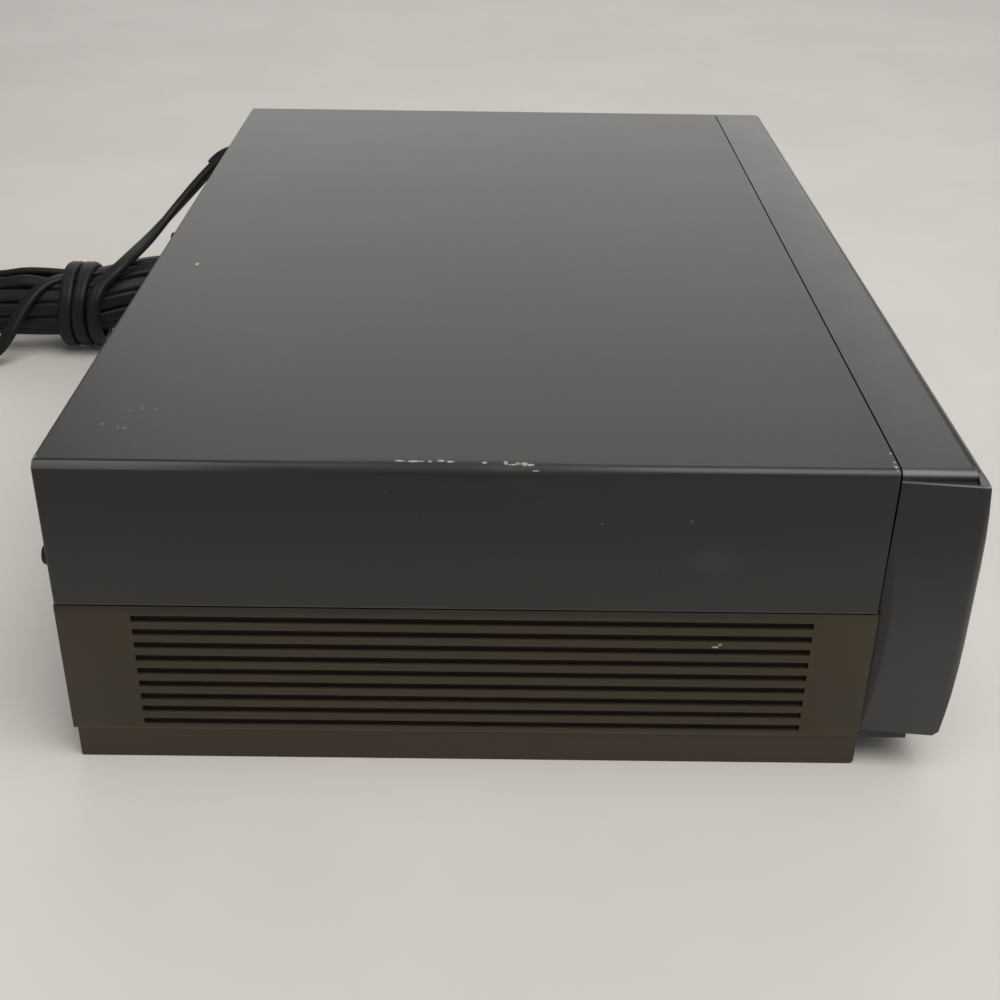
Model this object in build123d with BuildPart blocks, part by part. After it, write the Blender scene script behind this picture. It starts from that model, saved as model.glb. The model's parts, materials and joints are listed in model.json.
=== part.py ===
from build123d import *
import math
import os

# A VHS video cassette recorder. Millimetres, +Z up, the front faces -Y, and X runs to the right
# as seen from the front. The origin is the bottom centre of the machine without its mains cord.

os.makedirs("parts", exist_ok=True)

# ---------------------------------------------------------------- driving dimensions
# Case
case_width = 360.0  # over the sides of the cover
case_height = 94.0
cover_length = 218.7  # from the seam at the bezel to the rear edge
bezel_depth = 24.2  # from the seam to the foremost point of the front
socket_reach = 7.1  # antenna sockets behind the rear edge
cover_gauge = 1.0
cover_bend = 2.4
rear_round = 0.8
seam_height = 51.0  # where the cover meets the base frame
seam_gap = 0.7  # between the cover and the bezel
skirt_height = 10.45
wall = 2.5  # moulded plastic walls
fit = 0.3  # clearance between neighbouring pieces

# Cover flange and fasteners
rear_flange = 8.0
screw_height = 64.5
screw_shank = 3.0
screw_head = 5.6
screw_head_height = 1.6
screw_length = 8.0
clearance_hole = 3.4

# Base frame
rail_inset = 0.85
rail_width = 9.0
rail_front_round = 1.4
rail_rear_round = 0.5
tongue_depth = 13.5
tongue_bottom = 9.4
tongue_top = 12.7
cover_lip = 4.0  # lip of the base walls inside the cover
louvre_count = 9
louvre_pitch = 4.25
louvre_first = 2.5  # first slot above the ledge
louvre_height = 2.1
louvre_depth = 1.5
louvre_rear_margin = 19.9
louvre_front_margin = 16.8
vent_length = 22.0
vent_count = 7
plate_gauge = 1.0
plate_margin = 6.0
floor_rib = 12.0
post_inset_left = 8.0  # deck posts inside the edges of the deck
post_inset_right = 10.0
post_inset_front = 10.0
post_inset_rear = 8.0
board_post_inset = 26.0  # board posts inside the right side of the case
plate_screw_inset = 12.0
plate_slot_width = 4.0
plate_slot_length = 24.0
plate_slot_pitch_x = 14.0
plate_slot_pitch_y = 34.0
plate_slot_rows = 3
cross_length = 3.6  # cross recess in the screw heads
cross_width = 0.8
cross_depth = 0.8

# Bezel
cheek_flare = 2.4  # how far the cheeks stand proud of the cover at the front
strip_height = 2.5  # top strip that carries on the section of the cover
front_skin = 5.4
front_top_setback = 2.7
front_bottom_setback = 3.0
chin = 1.5
front_edge_round = 4.2
rim_depth = 5.2  # rim that frames the front, in front of the top strip
rim_shoulder = 2.0  # slope at each end of the rim
groove_gauge = 0.5
cheek_corner = 3.0
crescent_width = 3.1
crescent_top = 78.0
crescent_depth = 1.2

# Video cassette and its slot
cassette_width = 188.0
cassette_depth = 104.0
cassette_height = 25.0
slot_side_gap = 3.0
slot_inset = 27.0  # from the left side of the case to the slot
slot_gap_below = 2.2
slot_gap_above = 2.2
headroom = 6.95  # cover's inside to the top of a cassette in the slot

# Cassette door
door_gap = 0.5
door_gap_below = 0.9
door_back = 4.6  # rear face of the door behind the foremost point
door_axis_back = 5.8
door_axis_drop = 2.8
door_pin = 1.1
door_pin_length = 2.4
pin_clearance = 0.1
door_lug = 2.3

# Display and buttons
window_inset = 63.0  # from the right side of the case to the middle of the window
window_drop = 20.0  # from the top of the case to the middle of the window
window_width = 92.0
window_height = 22.0
window_flange = 3.0
flange_gauge = 1.2
button_gap = 0.35
button_travel = 0.8
button_lip = 1.2
stem_width = 4.0
stem_length = 1.9
switch_width = 6.0
switch_height = 3.4
plunger_radius = 1.6
board_setback = 8.0  # front board behind the inside of the bezel
board_gauge = 1.6
peg_radius = 2.5

# Main board and deck
board_stand = 7.5
under_deck = 13.0
deck_gauge = 1.5
deck_border_left = 10.0  # beyond the cassette
deck_border_right = 20.0
deck_front = 90.0
deck_rear = 98.0
deck_flange = 5.0
post_radius = 4.0
shoulder_radius = 6.0
seat_height = 10.0  # lowered cassette above the deck

# ---------------------------------------------------------------- derived places
side = case_width / 2
slot_width = cassette_width + 2 * slot_side_gap
mech_x = -side + slot_inset + slot_width / 2  # centre of the tape mechanism
deck_left = cassette_width / 2 + deck_border_left
deck_right = cassette_width / 2 + deck_border_right
window_x = side - window_inset
window_z = case_height - window_drop
y_front = -(bezel_depth + cover_length + socket_reach) / 2
y_seam = y_front + bezel_depth
y_rear = y_seam + cover_length
y_back = y_rear + socket_reach
y_inner = y_front + front_skin  # inside of the bezel's front wall
cover_inside = case_height - cover_gauge
floor_bottom = skirt_height - wall
panel_gauge = 1.2
panel_inside = y_rear - cover_gauge - panel_gauge
board_bottom = skirt_height + board_stand
board_top = board_bottom + board_gauge
deck_bottom = board_top + under_deck
deck_top = deck_bottom + deck_gauge
cassette_low = deck_top + seat_height
cassette_high = cover_inside - headroom - cassette_height
holder_drop = cassette_high - cassette_low
slot_bottom = cassette_high - slot_gap_below
slot_top = cassette_high + cassette_height + slot_gap_above
slot_left = mech_x - slot_width / 2
slot_right = mech_x + slot_width / 2
front_bow_z = (tongue_top + chin + case_height) / 2


def slab(x0, x1, y0, y1, z0, z1, mode=Mode.ADD):
    """A block between two corners, in the part being built."""
    with Locations(((x0 + x1) / 2, (y0 + y1) / 2, (z0 + z1) / 2)):
        Box(x1 - x0, y1 - y0, z1 - z0, mode=mode)


def post(x, y, z0, z1, radius, mode=Mode.ADD):
    """An upright cylinder between two heights, in the part being built."""
    with Locations((x, y, (z0 + z1) / 2)):
        Cylinder(radius, z1 - z0, mode=mode)


def bar(x, z, y0, y1, radius, mode=Mode.ADD):
    """A cylinder along Y between two depths, in the part being built."""
    with Locations((x, (y0 + y1) / 2, z)):
        Cylinder(radius, y1 - y0, rotation=(90, 0, 0), mode=mode)


def rod(y, z, x0, x1, radius, mode=Mode.ADD):
    """A cylinder along X between two sides, in the part being built."""
    with Locations(((x0 + x1) / 2, y, z)):
        Cylinder(radius, x1 - x0, rotation=(0, 90, 0), mode=mode)


# ---------------------------------------------------------------- top cover
flange_mid = side - rear_flange / 2
cover_screws = [
    (-flange_mid, screw_height),
    (flange_mid, screw_height),
    (0, case_height - rear_flange / 2),
]
with BuildPart() as top_cover:
    with BuildSketch(Plane.XZ.offset(-y_rear)):
        with Locations((0, (seam_height + case_height) / 2)):
            Rectangle(case_width, case_height - seam_height)
        fillet(vertices().group_by(Axis.Y)[-1], cover_bend)
    extrude(amount=cover_length - seam_gap)
    with BuildSketch(Plane.XZ.offset(-(y_rear - cover_gauge))):
        with Locations((0, (seam_height + cover_inside) / 2 - cover_gauge)):
            Rectangle(case_width - 2 * cover_gauge, cover_inside - seam_height + 2 * cover_gauge)
        fillet(vertices().group_by(Axis.Y)[-1], cover_bend - cover_gauge)
    extrude(amount=cover_length, mode=Mode.SUBTRACT)
    with BuildSketch(Plane.XZ.offset(-y_rear)):
        with Locations((0, (seam_height + case_height) / 2 - rear_flange)):
            Rectangle(case_width - 2 * rear_flange, case_height - seam_height)
    extrude(amount=cover_gauge, mode=Mode.SUBTRACT)
    for screw_x, screw_z in cover_screws:
        bar(screw_x, screw_z, y_rear - cover_gauge, y_rear, clearance_hole / 2, Mode.SUBTRACT)
    rear_edges = top_cover.edges().filter_by(lambda e: e.center().Y > y_rear - 0.01)
    fillet(
        rear_edges.filter_by(
            lambda e: abs(e.center().X) > side - cover_bend
            or e.center().Z > case_height - cover_bend
        ),
        rear_round,
    )
top_cover.part.label = "top_cover"
export_step(top_cover.part, "parts/top_cover.step")

# ---------------------------------------------------------------- base frame
rail_side = side - rail_inset
base_rear = y_rear - rail_inset
slot_length = cover_length - louvre_rear_margin - louvre_front_margin
slot_mid = y_rear - louvre_rear_margin - slot_length / 2
vent_pitch = slot_length / vent_count
louvre_heights = [
    skirt_height + louvre_first + k * louvre_pitch for k in range(louvre_count)
]
vent_bottom = louvre_heights[0] - louvre_height / 2
vent_top = louvre_heights[-1] + louvre_height / 2
post_front = -deck_front + post_inset_front
post_rear = deck_rear - post_inset_rear
deck_posts = [
    (mech_x + x, y)
    for x in (-deck_left + post_inset_left, deck_right - post_inset_right)
    for y in (post_front, post_rear)
]
board_posts = [(side - board_post_inset, y) for y in (post_front - 2, post_rear + 10)]
wall_mid_z = (skirt_height + seam_height) / 2
with BuildPart() as louvred_wall:
    # outer skin with long slots, and inner ribs with upright windows behind them
    with BuildSketch(Plane.YZ.offset(side)):
        with Locations(((y_seam + y_rear) / 2, wall_mid_z)):
            Rectangle(cover_length, seam_height - skirt_height)
        with Locations([(slot_mid, z) for z in louvre_heights]):
            Rectangle(slot_length, louvre_height, mode=Mode.SUBTRACT)
    extrude(amount=-louvre_depth)
    with BuildSketch(Plane.YZ.offset(side - louvre_depth)):
        with Locations(((y_seam + y_rear) / 2, wall_mid_z)):
            Rectangle(cover_length, seam_height - skirt_height)
        with Locations((slot_mid, (vent_bottom + vent_top) / 2)):
            with GridLocations(vent_pitch, 1, vent_count, 1):
                Rectangle(vent_length, vent_top - vent_bottom, mode=Mode.SUBTRACT)
    extrude(amount=louvre_depth - wall)
    lip_width = wall - cover_gauge - fit
    slab(
        side - wall, side - wall + lip_width, y_seam + 2 * wall, y_rear - 2 * wall,
        seam_height, seam_height + cover_lip,
    )
with BuildPart() as base_frame:
    slab(-rail_side, rail_side, y_seam, base_rear, floor_bottom, skirt_height)
    for s in (-1, 1):
        with Locations((s * (rail_side - rail_width / 2), (y_seam + base_rear) / 2, floor_bottom / 2)):
            Box(rail_width, base_rear - y_seam, floor_bottom)
    for end, radius in ((y_seam, rail_front_round), (base_rear, rail_rear_round)):
        corner_edges = base_frame.edges().filter_by(Axis.X).filter_by(lambda e: e.center().Z < 0.01)
        fillet(corner_edges.filter_by(lambda e: abs(e.center().Y - end) < 0.01), radius)
    slab(-rail_side, rail_side, y_seam - tongue_depth, y_seam, tongue_bottom, tongue_top)
    slab(-rail_side, rail_side, y_seam, y_seam + wall, skirt_height - wall, tongue_top)
    # openings in the floor, between the ribs that carry the posts
    left_bay = (deck_posts[0][0] + floor_rib, deck_posts[2][0] - floor_rib)
    right_bay = (deck_posts[2][0] + floor_rib, board_posts[0][0] - floor_rib)
    for bay in (left_bay, right_bay):
        slab(
            bay[0], bay[1], post_front + floor_rib, post_rear - floor_rib,
            floor_bottom, skirt_height, Mode.SUBTRACT,
        )
    add(louvred_wall.part)
    add(mirror(louvred_wall.part, about=Plane.YZ, mode=Mode.PRIVATE))
    # posts of the tape deck and of the main board, stepped to carry the board
    for x, y in deck_posts:
        post(x, y, skirt_height, board_bottom, shoulder_radius)
        post(x, y, board_bottom, deck_bottom, post_radius)
    for x, y in board_posts:
        post(x, y, skirt_height, board_bottom, shoulder_radius)
        post(x, y, board_bottom, board_top + wall, post_radius)
    # screw holes for the bottom plate
    screw_side = rail_side - rail_width - plate_screw_inset
    plate_screws = [
        (x, y)
        for x in (-screw_side, 0, screw_side)
        for y in (y_seam + plate_screw_inset, base_rear - plate_screw_inset)
    ]
    for x, y in plate_screws:
        post(x, y, floor_bottom, skirt_height, clearance_hole / 2, Mode.SUBTRACT)
base_frame.part.label = "base_frame"
export_step(base_frame.part, "parts/base_frame.step")

# ---------------------------------------------------------------- bottom plate
plate_side = rail_side - rail_width - fit
plate_bottom = floor_bottom - plate_gauge
with BuildPart() as bottom_plate:
    slab(-plate_side, plate_side, y_seam + plate_margin, base_rear - plate_margin, plate_bottom, floor_bottom)
    for x, y in plate_screws:
        post(x, y, plate_bottom, floor_bottom, clearance_hole / 2, Mode.SUBTRACT)
    for bay in (left_bay, right_bay):
        columns = int((bay[1] - bay[0]) / (plate_slot_pitch_x + wall))
        with Locations(((bay[0] + bay[1]) / 2, 0, floor_bottom - plate_gauge / 2)):
            with GridLocations(plate_slot_pitch_x, plate_slot_pitch_y, columns, plate_slot_rows):
                Box(plate_slot_width, plate_slot_length, plate_gauge, mode=Mode.SUBTRACT)
bottom_plate.part.label = "bottom_plate"
export_step(bottom_plate.part, "parts/bottom_plate.step")

# ---------------------------------------------------------------- case screws
with BuildPart() as case_screws:
    for x, z in cover_screws:
        bar(x, z, y_rear - screw_length + screw_head_height, y_rear, screw_shank / 2)
        bar(x, z, y_rear, y_rear + screw_head_height, screw_head / 2)
    for x, y in plate_screws:
        post(x, y, plate_bottom, skirt_height, screw_shank / 2)
        post(x, y, plate_bottom - screw_head_height, plate_bottom, screw_head / 2)
    head_edges = case_screws.edges().filter_by(GeomType.CIRCLE).filter_by(
        lambda e: e.center().Y > y_rear + screw_head_height - 0.01
        or e.center().Z < plate_bottom - screw_head_height + 0.01
    )
    fillet(head_edges, screw_head_height / 2)
    for x, z in cover_screws:
        with Locations((x, y_rear + screw_head_height - cross_depth / 2, z)):
            Box(cross_length, cross_depth, cross_width, mode=Mode.SUBTRACT)
            Box(cross_width, cross_depth, cross_length, mode=Mode.SUBTRACT)
case_screws.part.label = "case_screws"
export_step(case_screws.part, "parts/case_screws.step")

# ---------------------------------------------------------------- front bezel
window_low = window_z - window_height / 2
window_high = window_z + window_height / 2
# side of the case, inset from it, drop from the top of the case, width, height
button_table = {
    "power_button": (-1, 14.0, 20.0, 14.0, 12.0),
    "eject_button": (-1, 14.0, 42.0, 14.0, 12.0),
    "rewind_button": (1, 94.0, 48.0, 28.0, 9.0),
    "play_button": (1, 62.0, 48.0, 28.0, 9.0),
    "fast_forward_button": (1, 30.0, 48.0, 28.0, 9.0),
    "stop_button": (1, 94.0, 63.0, 28.0, 9.0),
    "record_button": (1, 62.0, 63.0, 28.0, 9.0),
    "channel_down_button": (1, 37.5, 63.0, 12.0, 9.0),
    "channel_up_button": (1, 22.5, 63.0, 12.0, 9.0),
}
buttons = {
    name: (s * (side - inset), case_height - drop, width, height)
    for name, (s, inset, drop, width, height) in button_table.items()
}
peg_inset = 4.0
board_drop = 4.0  # front board below the top of the case
front_board_left = window_x - window_width / 2 - 13.0
front_board_right = side - wall - 3.5
front_board_bottom = tongue_top + wall + 2.8
front_board_top = case_height - board_drop
front_pegs = [
    (x, z)
    for x in (front_board_left + peg_inset, front_board_right - peg_inset)
    for z in (front_board_bottom + peg_inset, front_board_top - peg_inset)
]
switch_x = buttons["power_button"][0]
switch_board_left = switch_x - 10.0
switch_board_right = slot_left - 3.5
switch_board_top = front_board_top - 2.0
switch_board_bottom = switch_board_top - 52.0
switch_pegs = [
    (switch_x, z) for z in (switch_board_bottom + peg_inset, switch_board_top - peg_inset)
]
cover_side_z = case_height - strip_height
door_axis_y = y_front + door_axis_back
door_axis_z = slot_top - door_axis_drop
door_left = slot_left + door_gap
door_right = slot_right - door_gap
door_lug_width = 4.0
spring_x = slot_left + 8.0
spring_width = 5.0
spring_gauge = 0.5
spring_reach = 3.5  # behind the axis of the door
spring_gap = 0.2


def front_face(low, high, back):
    """The section of a piece that is flush with the bowed front, between two heights."""
    half = (case_height - tongue_top - chin) / 2
    sag = (front_bottom_setback + front_top_setback) / 2
    radius = (half * half + sag * sag) / (2 * sag)

    def bow(z):
        lean = front_top_setback - front_bottom_setback
        share = (z - front_bow_z) / (2 * half)
        return y_front + radius - math.sqrt(radius * radius - (z - front_bow_z) ** 2) + lean * share

    middle = (low + high) / 2
    with BuildSketch(Plane.YZ, mode=Mode.PRIVATE) as section:
        with BuildLine():
            arc = ThreePointArc((bow(low), low), (bow(middle), middle), (bow(high), high))
            Polyline(arc @ 1, (back, high), (back, low), arc @ 0)
        make_face()
    return section.sketch


with BuildPart() as front_bezel:
    with BuildSketch(Plane.YZ):
        with BuildLine():
            Line((y_seam, tongue_top), (y_front + front_bottom_setback + chin, tongue_top))
            Line(
                (y_front + front_bottom_setback + chin, tongue_top),
                (y_front + front_bottom_setback, tongue_top + chin),
            )
            ThreePointArc(
                (y_front + front_bottom_setback, tongue_top + chin),
                (y_front, front_bow_z),
                (y_front + front_top_setback, case_height),
            )
            Line((y_front + front_top_setback, case_height), (y_seam, case_height))
            Line((y_seam, case_height), (y_seam, tongue_top))
        make_face()
        fillet(vertices().group_by(Axis.Y)[-1].sort_by(Axis.X)[0], front_edge_round)
    extrude(amount=side + cheek_flare, both=True)
    # cheeks flare from the seam to the front, with rounded corners in plan
    with BuildSketch(Plane.XY):
        with BuildLine():
            Polyline(
                (-side, y_seam),
                (side, y_seam),
                (side + cheek_flare, y_front + cheek_corner),
                (side + cheek_flare, y_front),
                (-side - cheek_flare, y_front),
                (-side - cheek_flare, y_front + cheek_corner),
                (-side, y_seam),
            )
        make_face()
        fillet(vertices().group_by(Axis.Y)[0], cheek_corner)
    extrude(amount=case_height, mode=Mode.INTERSECT)
    # the top strip carries on the section of the cover, and the rim in front of it slopes at its ends
    with BuildPart(mode=Mode.PRIVATE) as upper_limits:
        with BuildSketch(Plane.XZ.offset(-y_seam)):
            with Locations((0, cover_side_z / 2)):
                Rectangle(case_width + 2 * cheek_flare, cover_side_z)
            with Locations((0, case_height / 2)):
                Rectangle(case_width, case_height)
            fillet(vertices().group_by(Axis.Y)[-1], cover_bend)
        extrude(amount=bezel_depth - rim_depth)
        with BuildSketch(Plane.XZ.offset(-y_front)):
            with BuildLine():
                Polyline(
                    (-side - cheek_flare, 0),
                    (side + cheek_flare, 0),
                    (side + cheek_flare, cover_side_z),
                    (side - rim_shoulder, case_height),
                    (-side + rim_shoulder, case_height),
                    (-side - cheek_flare, cover_side_z),
                    (-side - cheek_flare, 0),
                )
            make_face()
        extrude(amount=-rim_depth)
    add(upper_limits.part, mode=Mode.INTERSECT)
    groove_rear = y_front + rim_depth
    slab(
        -side, side, groove_rear - groove_gauge, groove_rear,
        case_height - groove_gauge, case_height, Mode.SUBTRACT,
    )
    # crescent scoop in each cheek, shallow at its arc and deepest at the seam
    crescent_half = (crescent_top - tongue_top) / 2
    crescent_radius = (crescent_half**2 + crescent_width**2) / (2 * crescent_width)
    crescent_slope = crescent_width / crescent_depth
    for s in (-1, 1):
        with Locations((s * side, y_seam - crescent_width + crescent_radius, tongue_top + crescent_half)):
            Cone(
                crescent_radius - crescent_slope * cheek_flare,
                crescent_radius + crescent_slope * cheek_flare,
                2 * cheek_flare,
                rotation=(0, s * 90, 0),
                mode=Mode.SUBTRACT,
            )
    # inside
    slab(-side + wall, side - wall, y_inner, y_seam, tongue_top + wall, case_height - wall, Mode.SUBTRACT)
    # cassette slot, display window and button holes
    slab(slot_left, slot_right, y_front, y_inner, slot_bottom, slot_top, Mode.SUBTRACT)
    slab(
        window_x - window_width / 2, window_x + window_width / 2, y_front, y_inner,
        window_low, window_high, Mode.SUBTRACT,
    )
    for x, z, width, height in buttons.values():
        with Locations((x, (y_front + y_inner) / 2, z)):
            Box(width + 2 * button_gap, front_skin, height + 2 * button_gap, mode=Mode.SUBTRACT)
    # pegs of the two boards behind the front
    for x, z in front_pegs + switch_pegs:
        bar(x, z, y_inner, y_inner + board_setback, peg_radius)
    # bearings of the cassette door, in bosses behind the ends of the slot
    for s, end in ((-1, slot_left), (1, slot_right)):
        boss = end + s * 2 * wall
        slab(min(end, boss), max(end, boss), y_inner, door_axis_y + 2 * wall, door_axis_z - wall, slot_top)
        bore = end + s * (door_pin_length + fit)
        rod(
            door_axis_y, door_axis_z, min(end, bore), max(end, bore),
            door_pin + pin_clearance, Mode.SUBTRACT,
        )
front_bezel.part.label = "front_bezel"
export_step(front_bezel.part, "parts/front_bezel.step")

# ---------------------------------------------------------------- cassette door
with BuildPart() as cassette_door:
    extrude(
        front_face(slot_bottom + door_gap_below, slot_top - door_gap, y_front + door_back).moved(
            Location((door_left, 0, 0))
        ),
        amount=door_right - door_left,
        dir=(1, 0, 0),
    )
    for x0, x1 in (
        (door_left, door_left + door_lug_width),
        (door_right - door_lug_width, door_right),
    ):
        rod(door_axis_y, door_axis_z, x0, x1, door_lug)
    rod(door_axis_y, door_axis_z, door_left - door_pin_length, door_left, door_pin)
    rod(door_axis_y, door_axis_z, door_right, door_right + door_pin_length, door_pin)
cassette_door.part.label = "cassette_door"
export_step(cassette_door.part, "parts/cassette_door.step")

# ---------------------------------------------------------------- display window
with BuildPart() as display_window:
    extrude(
        front_face(window_low + fit, window_high - fit, y_inner).moved(
            Location((window_x - window_width / 2 + fit, 0, 0))
        ),
        amount=window_width - 2 * fit,
        dir=(1, 0, 0),
    )
    slab(
        window_x - window_width / 2 - window_flange, window_x + window_width / 2 + window_flange,
        y_inner, y_inner + flange_gauge,
        window_low - window_flange, window_high + window_flange,
    )
display_window.part.label = "display_window"
export_step(display_window.part, "parts/display_window.step")

# ---------------------------------------------------------------- buttons
for name, (x, z, width, height) in buttons.items():
    with BuildPart() as button:
        extrude(
            front_face(z - height / 2, z + height / 2, y_inner).moved(Location((x - width / 2, 0, 0))),
            amount=width,
            dir=(1, 0, 0),
        )
        front_edges = button.faces().sort_by(Axis.Y)[0].edges()
        fillet(front_edges, button_gap)
        with Locations((x, y_inner + flange_gauge / 2, z)):
            Box(width + 2 * button_lip, flange_gauge, height + 2 * button_lip)
        with Locations((x, y_inner + flange_gauge + stem_length / 2, z)):
            Box(stem_width, stem_length, stem_width)
    button.part.label = name
    export_step(button.part, f"parts/{name}.step")

# ---------------------------------------------------------------- boards behind the front
board_face = y_inner + board_setback
plunger_tip = y_inner + flange_gauge + stem_length + button_travel + pin_clearance


def switch(x, z):
    """A push switch on the front of a board, its plunger towards a button's stem."""
    with Locations((x, board_face - switch_height / 2, z)):
        Box(switch_width, switch_height, switch_width)
    bar(x, z, plunger_tip, board_face - switch_height, plunger_radius)


with BuildPart() as front_board:
    slab(
        front_board_left, front_board_right, board_face, board_face + board_gauge,
        front_board_bottom, front_board_top,
    )
    for x, z, _, _ in buttons.values():
        if x > 0:
            switch(x, z)
front_board.part.label = "front_board"
export_step(front_board.part, "parts/front_board.step")

with BuildPart() as switch_board:
    slab(
        switch_board_left, switch_board_right, board_face, board_face + board_gauge,
        switch_board_bottom, switch_board_top,
    )
    for x, z, _, _ in buttons.values():
        if x < 0:
            switch(x, z)
switch_board.part.label = "switch_board"
export_step(switch_board.part, "parts/switch_board.step")

display_depth = 5.0
display_width = window_width - 4.0
display_height = window_height - 2.0
with BuildPart() as display_module:
    with Locations((window_x, board_face - display_depth / 2, window_z)):
        Box(display_width, display_depth, display_height)
display_module.part.label = "display_module"
export_step(display_module.part, "parts/display_module.step")

with BuildPart() as door_spring:
    slab(
        spring_x - spring_width / 2, spring_x + spring_width / 2,
        y_inner, y_inner + spring_gauge, slot_top + spring_gap, case_height - wall,
    )
    slab(
        spring_x - spring_width / 2, spring_x + spring_width / 2,
        y_inner + spring_gauge, door_axis_y + spring_reach,
        slot_top + spring_gap, slot_top + spring_gap + spring_gauge,
    )
door_spring.part.label = "door_spring"
export_step(door_spring.part, "parts/door_spring.step")

# ---------------------------------------------------------------- rear panel and its sockets
cord_exit_x = side - 14.0
cord_exit_z = 75.5
relief_neck = 4.4
relief_collar = 5.6
antenna_xs = [mech_x - 76.0, mech_x - 58.0]
antenna_z = 34.0
antenna_radius = 4.7
antenna_bore = 1.8
antenna_bore_depth = 8.0
antenna_nut = 6.3
antenna_nut_gauge = 2.0
jack_pitch = 15.0
jack_xs = [mech_x - 20.0 + jack_pitch * k for k in range(3)]
jack_zs = [28.0, 28.0 + jack_pitch]
jack_radius = 4.15
jack_bore = 1.6
jack_reach = 6.0
jack_block_depth = 12.0
jack_block_margin = 8.0
jack_bore_depth = 4.0
panel_side = side - wall - fit
with BuildPart() as rear_panel:
    slab(
        -panel_side, panel_side, panel_inside, y_rear - cover_gauge,
        skirt_height, cover_inside - fit,
    )
    for x, z in cover_screws:
        bar(x, z, panel_inside, y_rear - cover_gauge, clearance_hole / 2, Mode.SUBTRACT)
    bar(cord_exit_x, cord_exit_z, panel_inside, y_rear, relief_neck + fit, Mode.SUBTRACT)
    for x in antenna_xs:
        bar(x, antenna_z, panel_inside, y_rear, antenna_radius + fit, Mode.SUBTRACT)
    for x in jack_xs:
        for z in jack_zs:
            bar(x, z, panel_inside, y_rear, jack_radius + fit, Mode.SUBTRACT)
rear_panel.part.label = "rear_panel"
export_step(rear_panel.part, "parts/rear_panel.step")

tuner_width = 62.0
tuner_depth = 15.0
tuner_height = 36.0
tuner_x = (antenna_xs[0] + antenna_xs[1]) / 2
tuner_corner = 0.6
with BuildPart() as tuner_block:
    slab(
        tuner_x - tuner_width / 2, tuner_x + tuner_width / 2,
        panel_inside - tuner_depth, panel_inside, board_top, board_top + tuner_height,
    )
    vertical = tuner_block.edges().filter_by(Axis.Z)
    chamfer(vertical, tuner_corner)
tuner_block.part.label = "tuner_block"
export_step(tuner_block.part, "parts/tuner_block.step")

with BuildPart() as antenna_sockets:
    for x in antenna_xs:
        bar(x, antenna_z, panel_inside, y_back, antenna_radius)
        with BuildSketch(Plane.XZ.offset(-(y_rear - cover_gauge))):
            with Locations((x, antenna_z)):
                RegularPolygon(antenna_nut, 6)
        extrude(amount=-antenna_nut_gauge)
        bar(x, antenna_z, y_back - antenna_bore_depth, y_back, antenna_bore, Mode.SUBTRACT)
antenna_sockets.part.label = "antenna_sockets"
export_step(antenna_sockets.part, "parts/antenna_sockets.step")

with BuildPart() as av_sockets:
    slab(
        jack_xs[0] - jack_block_margin, jack_xs[-1] + jack_block_margin,
        panel_inside - jack_block_depth, panel_inside,
        board_top, jack_zs[-1] + jack_block_margin,
    )
    for x in jack_xs:
        for z in jack_zs:
            bar(x, z, panel_inside, y_rear + jack_reach, jack_radius)
            bar(
                x, z, panel_inside - jack_bore_depth, y_rear + jack_reach,
                jack_bore, Mode.SUBTRACT,
            )
av_sockets.part.label = "av_sockets"
export_step(av_sockets.part, "parts/av_sockets.step")

# ---------------------------------------------------------------- main board and its parts
board_margin_side = 3.5
board_margin_front = 4.0
board_margin_rear = 2.5
board_side = side - wall - board_margin_side
board_front = y_seam + board_margin_front
board_rear = panel_inside - board_margin_rear
with BuildPart() as main_board:
    slab(-board_side, board_side, board_front, board_rear, board_bottom, board_top)
    for x, y in deck_posts + board_posts:
        post(x, y, board_bottom, board_top, post_radius + fit, Mode.SUBTRACT)
main_board.part.label = "main_board"
export_step(main_board.part, "parts/main_board.step")

# from the right side of the case, y, length, depth, height
power_chips = [
    (100.0, -60.0, 14.0, 38.0, 4.0),
    (76.0, -66.0, 22.0, 22.0, 2.6),
    (38.0, -70.0, 10.0, 26.0, 3.6),
    (90.0, -12.0, 24.0, 8.0, 3.6),
    (48.0, -30.0, 26.0, 10.0, 3.6),
]
# from the centre of the tape mechanism, y, length, depth, height
tape_chips = [
    (-94.0, -50.0, 10.0, 30.0, 3.6),
    (-64.0, -20.0, 24.0, 10.0, 3.6),
    (-34.0, -78.0, 30.0, 10.0, 3.6),
    (-4.0, 40.0, 16.0, 40.0, 4.0),
    (36.0, -76.0, 12.0, 12.0, 7.0),
    (-60.0, 60.0, 20.0, 20.0, 7.0),
    (76.0, -64.0, 20.0, 8.0, 3.6),
]
chips = [(side - inset, *sizes) for inset, *sizes in power_chips]
chips += [(mech_x + x, *sizes) for x, *sizes in tape_chips]
with BuildPart() as board_chips:
    for x, y, length, depth, height in chips:
        with Locations((x, y, board_top + height / 2)):
            Box(length, depth, height)
board_chips.part.label = "board_chips"
export_step(board_chips.part, "parts/board_chips.step")

# from the right side of the case, y, radius, height
power_capacitors = [
    (90.0, 22.0, 9.0, 30.0),
    (90.0, 44.0, 8.0, 25.0),
    (68.0, 6.0, 6.5, 20.0),
    (50.0, 6.0, 6.5, 20.0),
    (34.0, 2.0, 5.0, 16.0),
    (104.0, -2.0, 4.0, 11.0),
    (30.0, -48.0, 5.0, 11.0),
    (62.0, -46.0, 4.0, 11.0),
]
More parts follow.
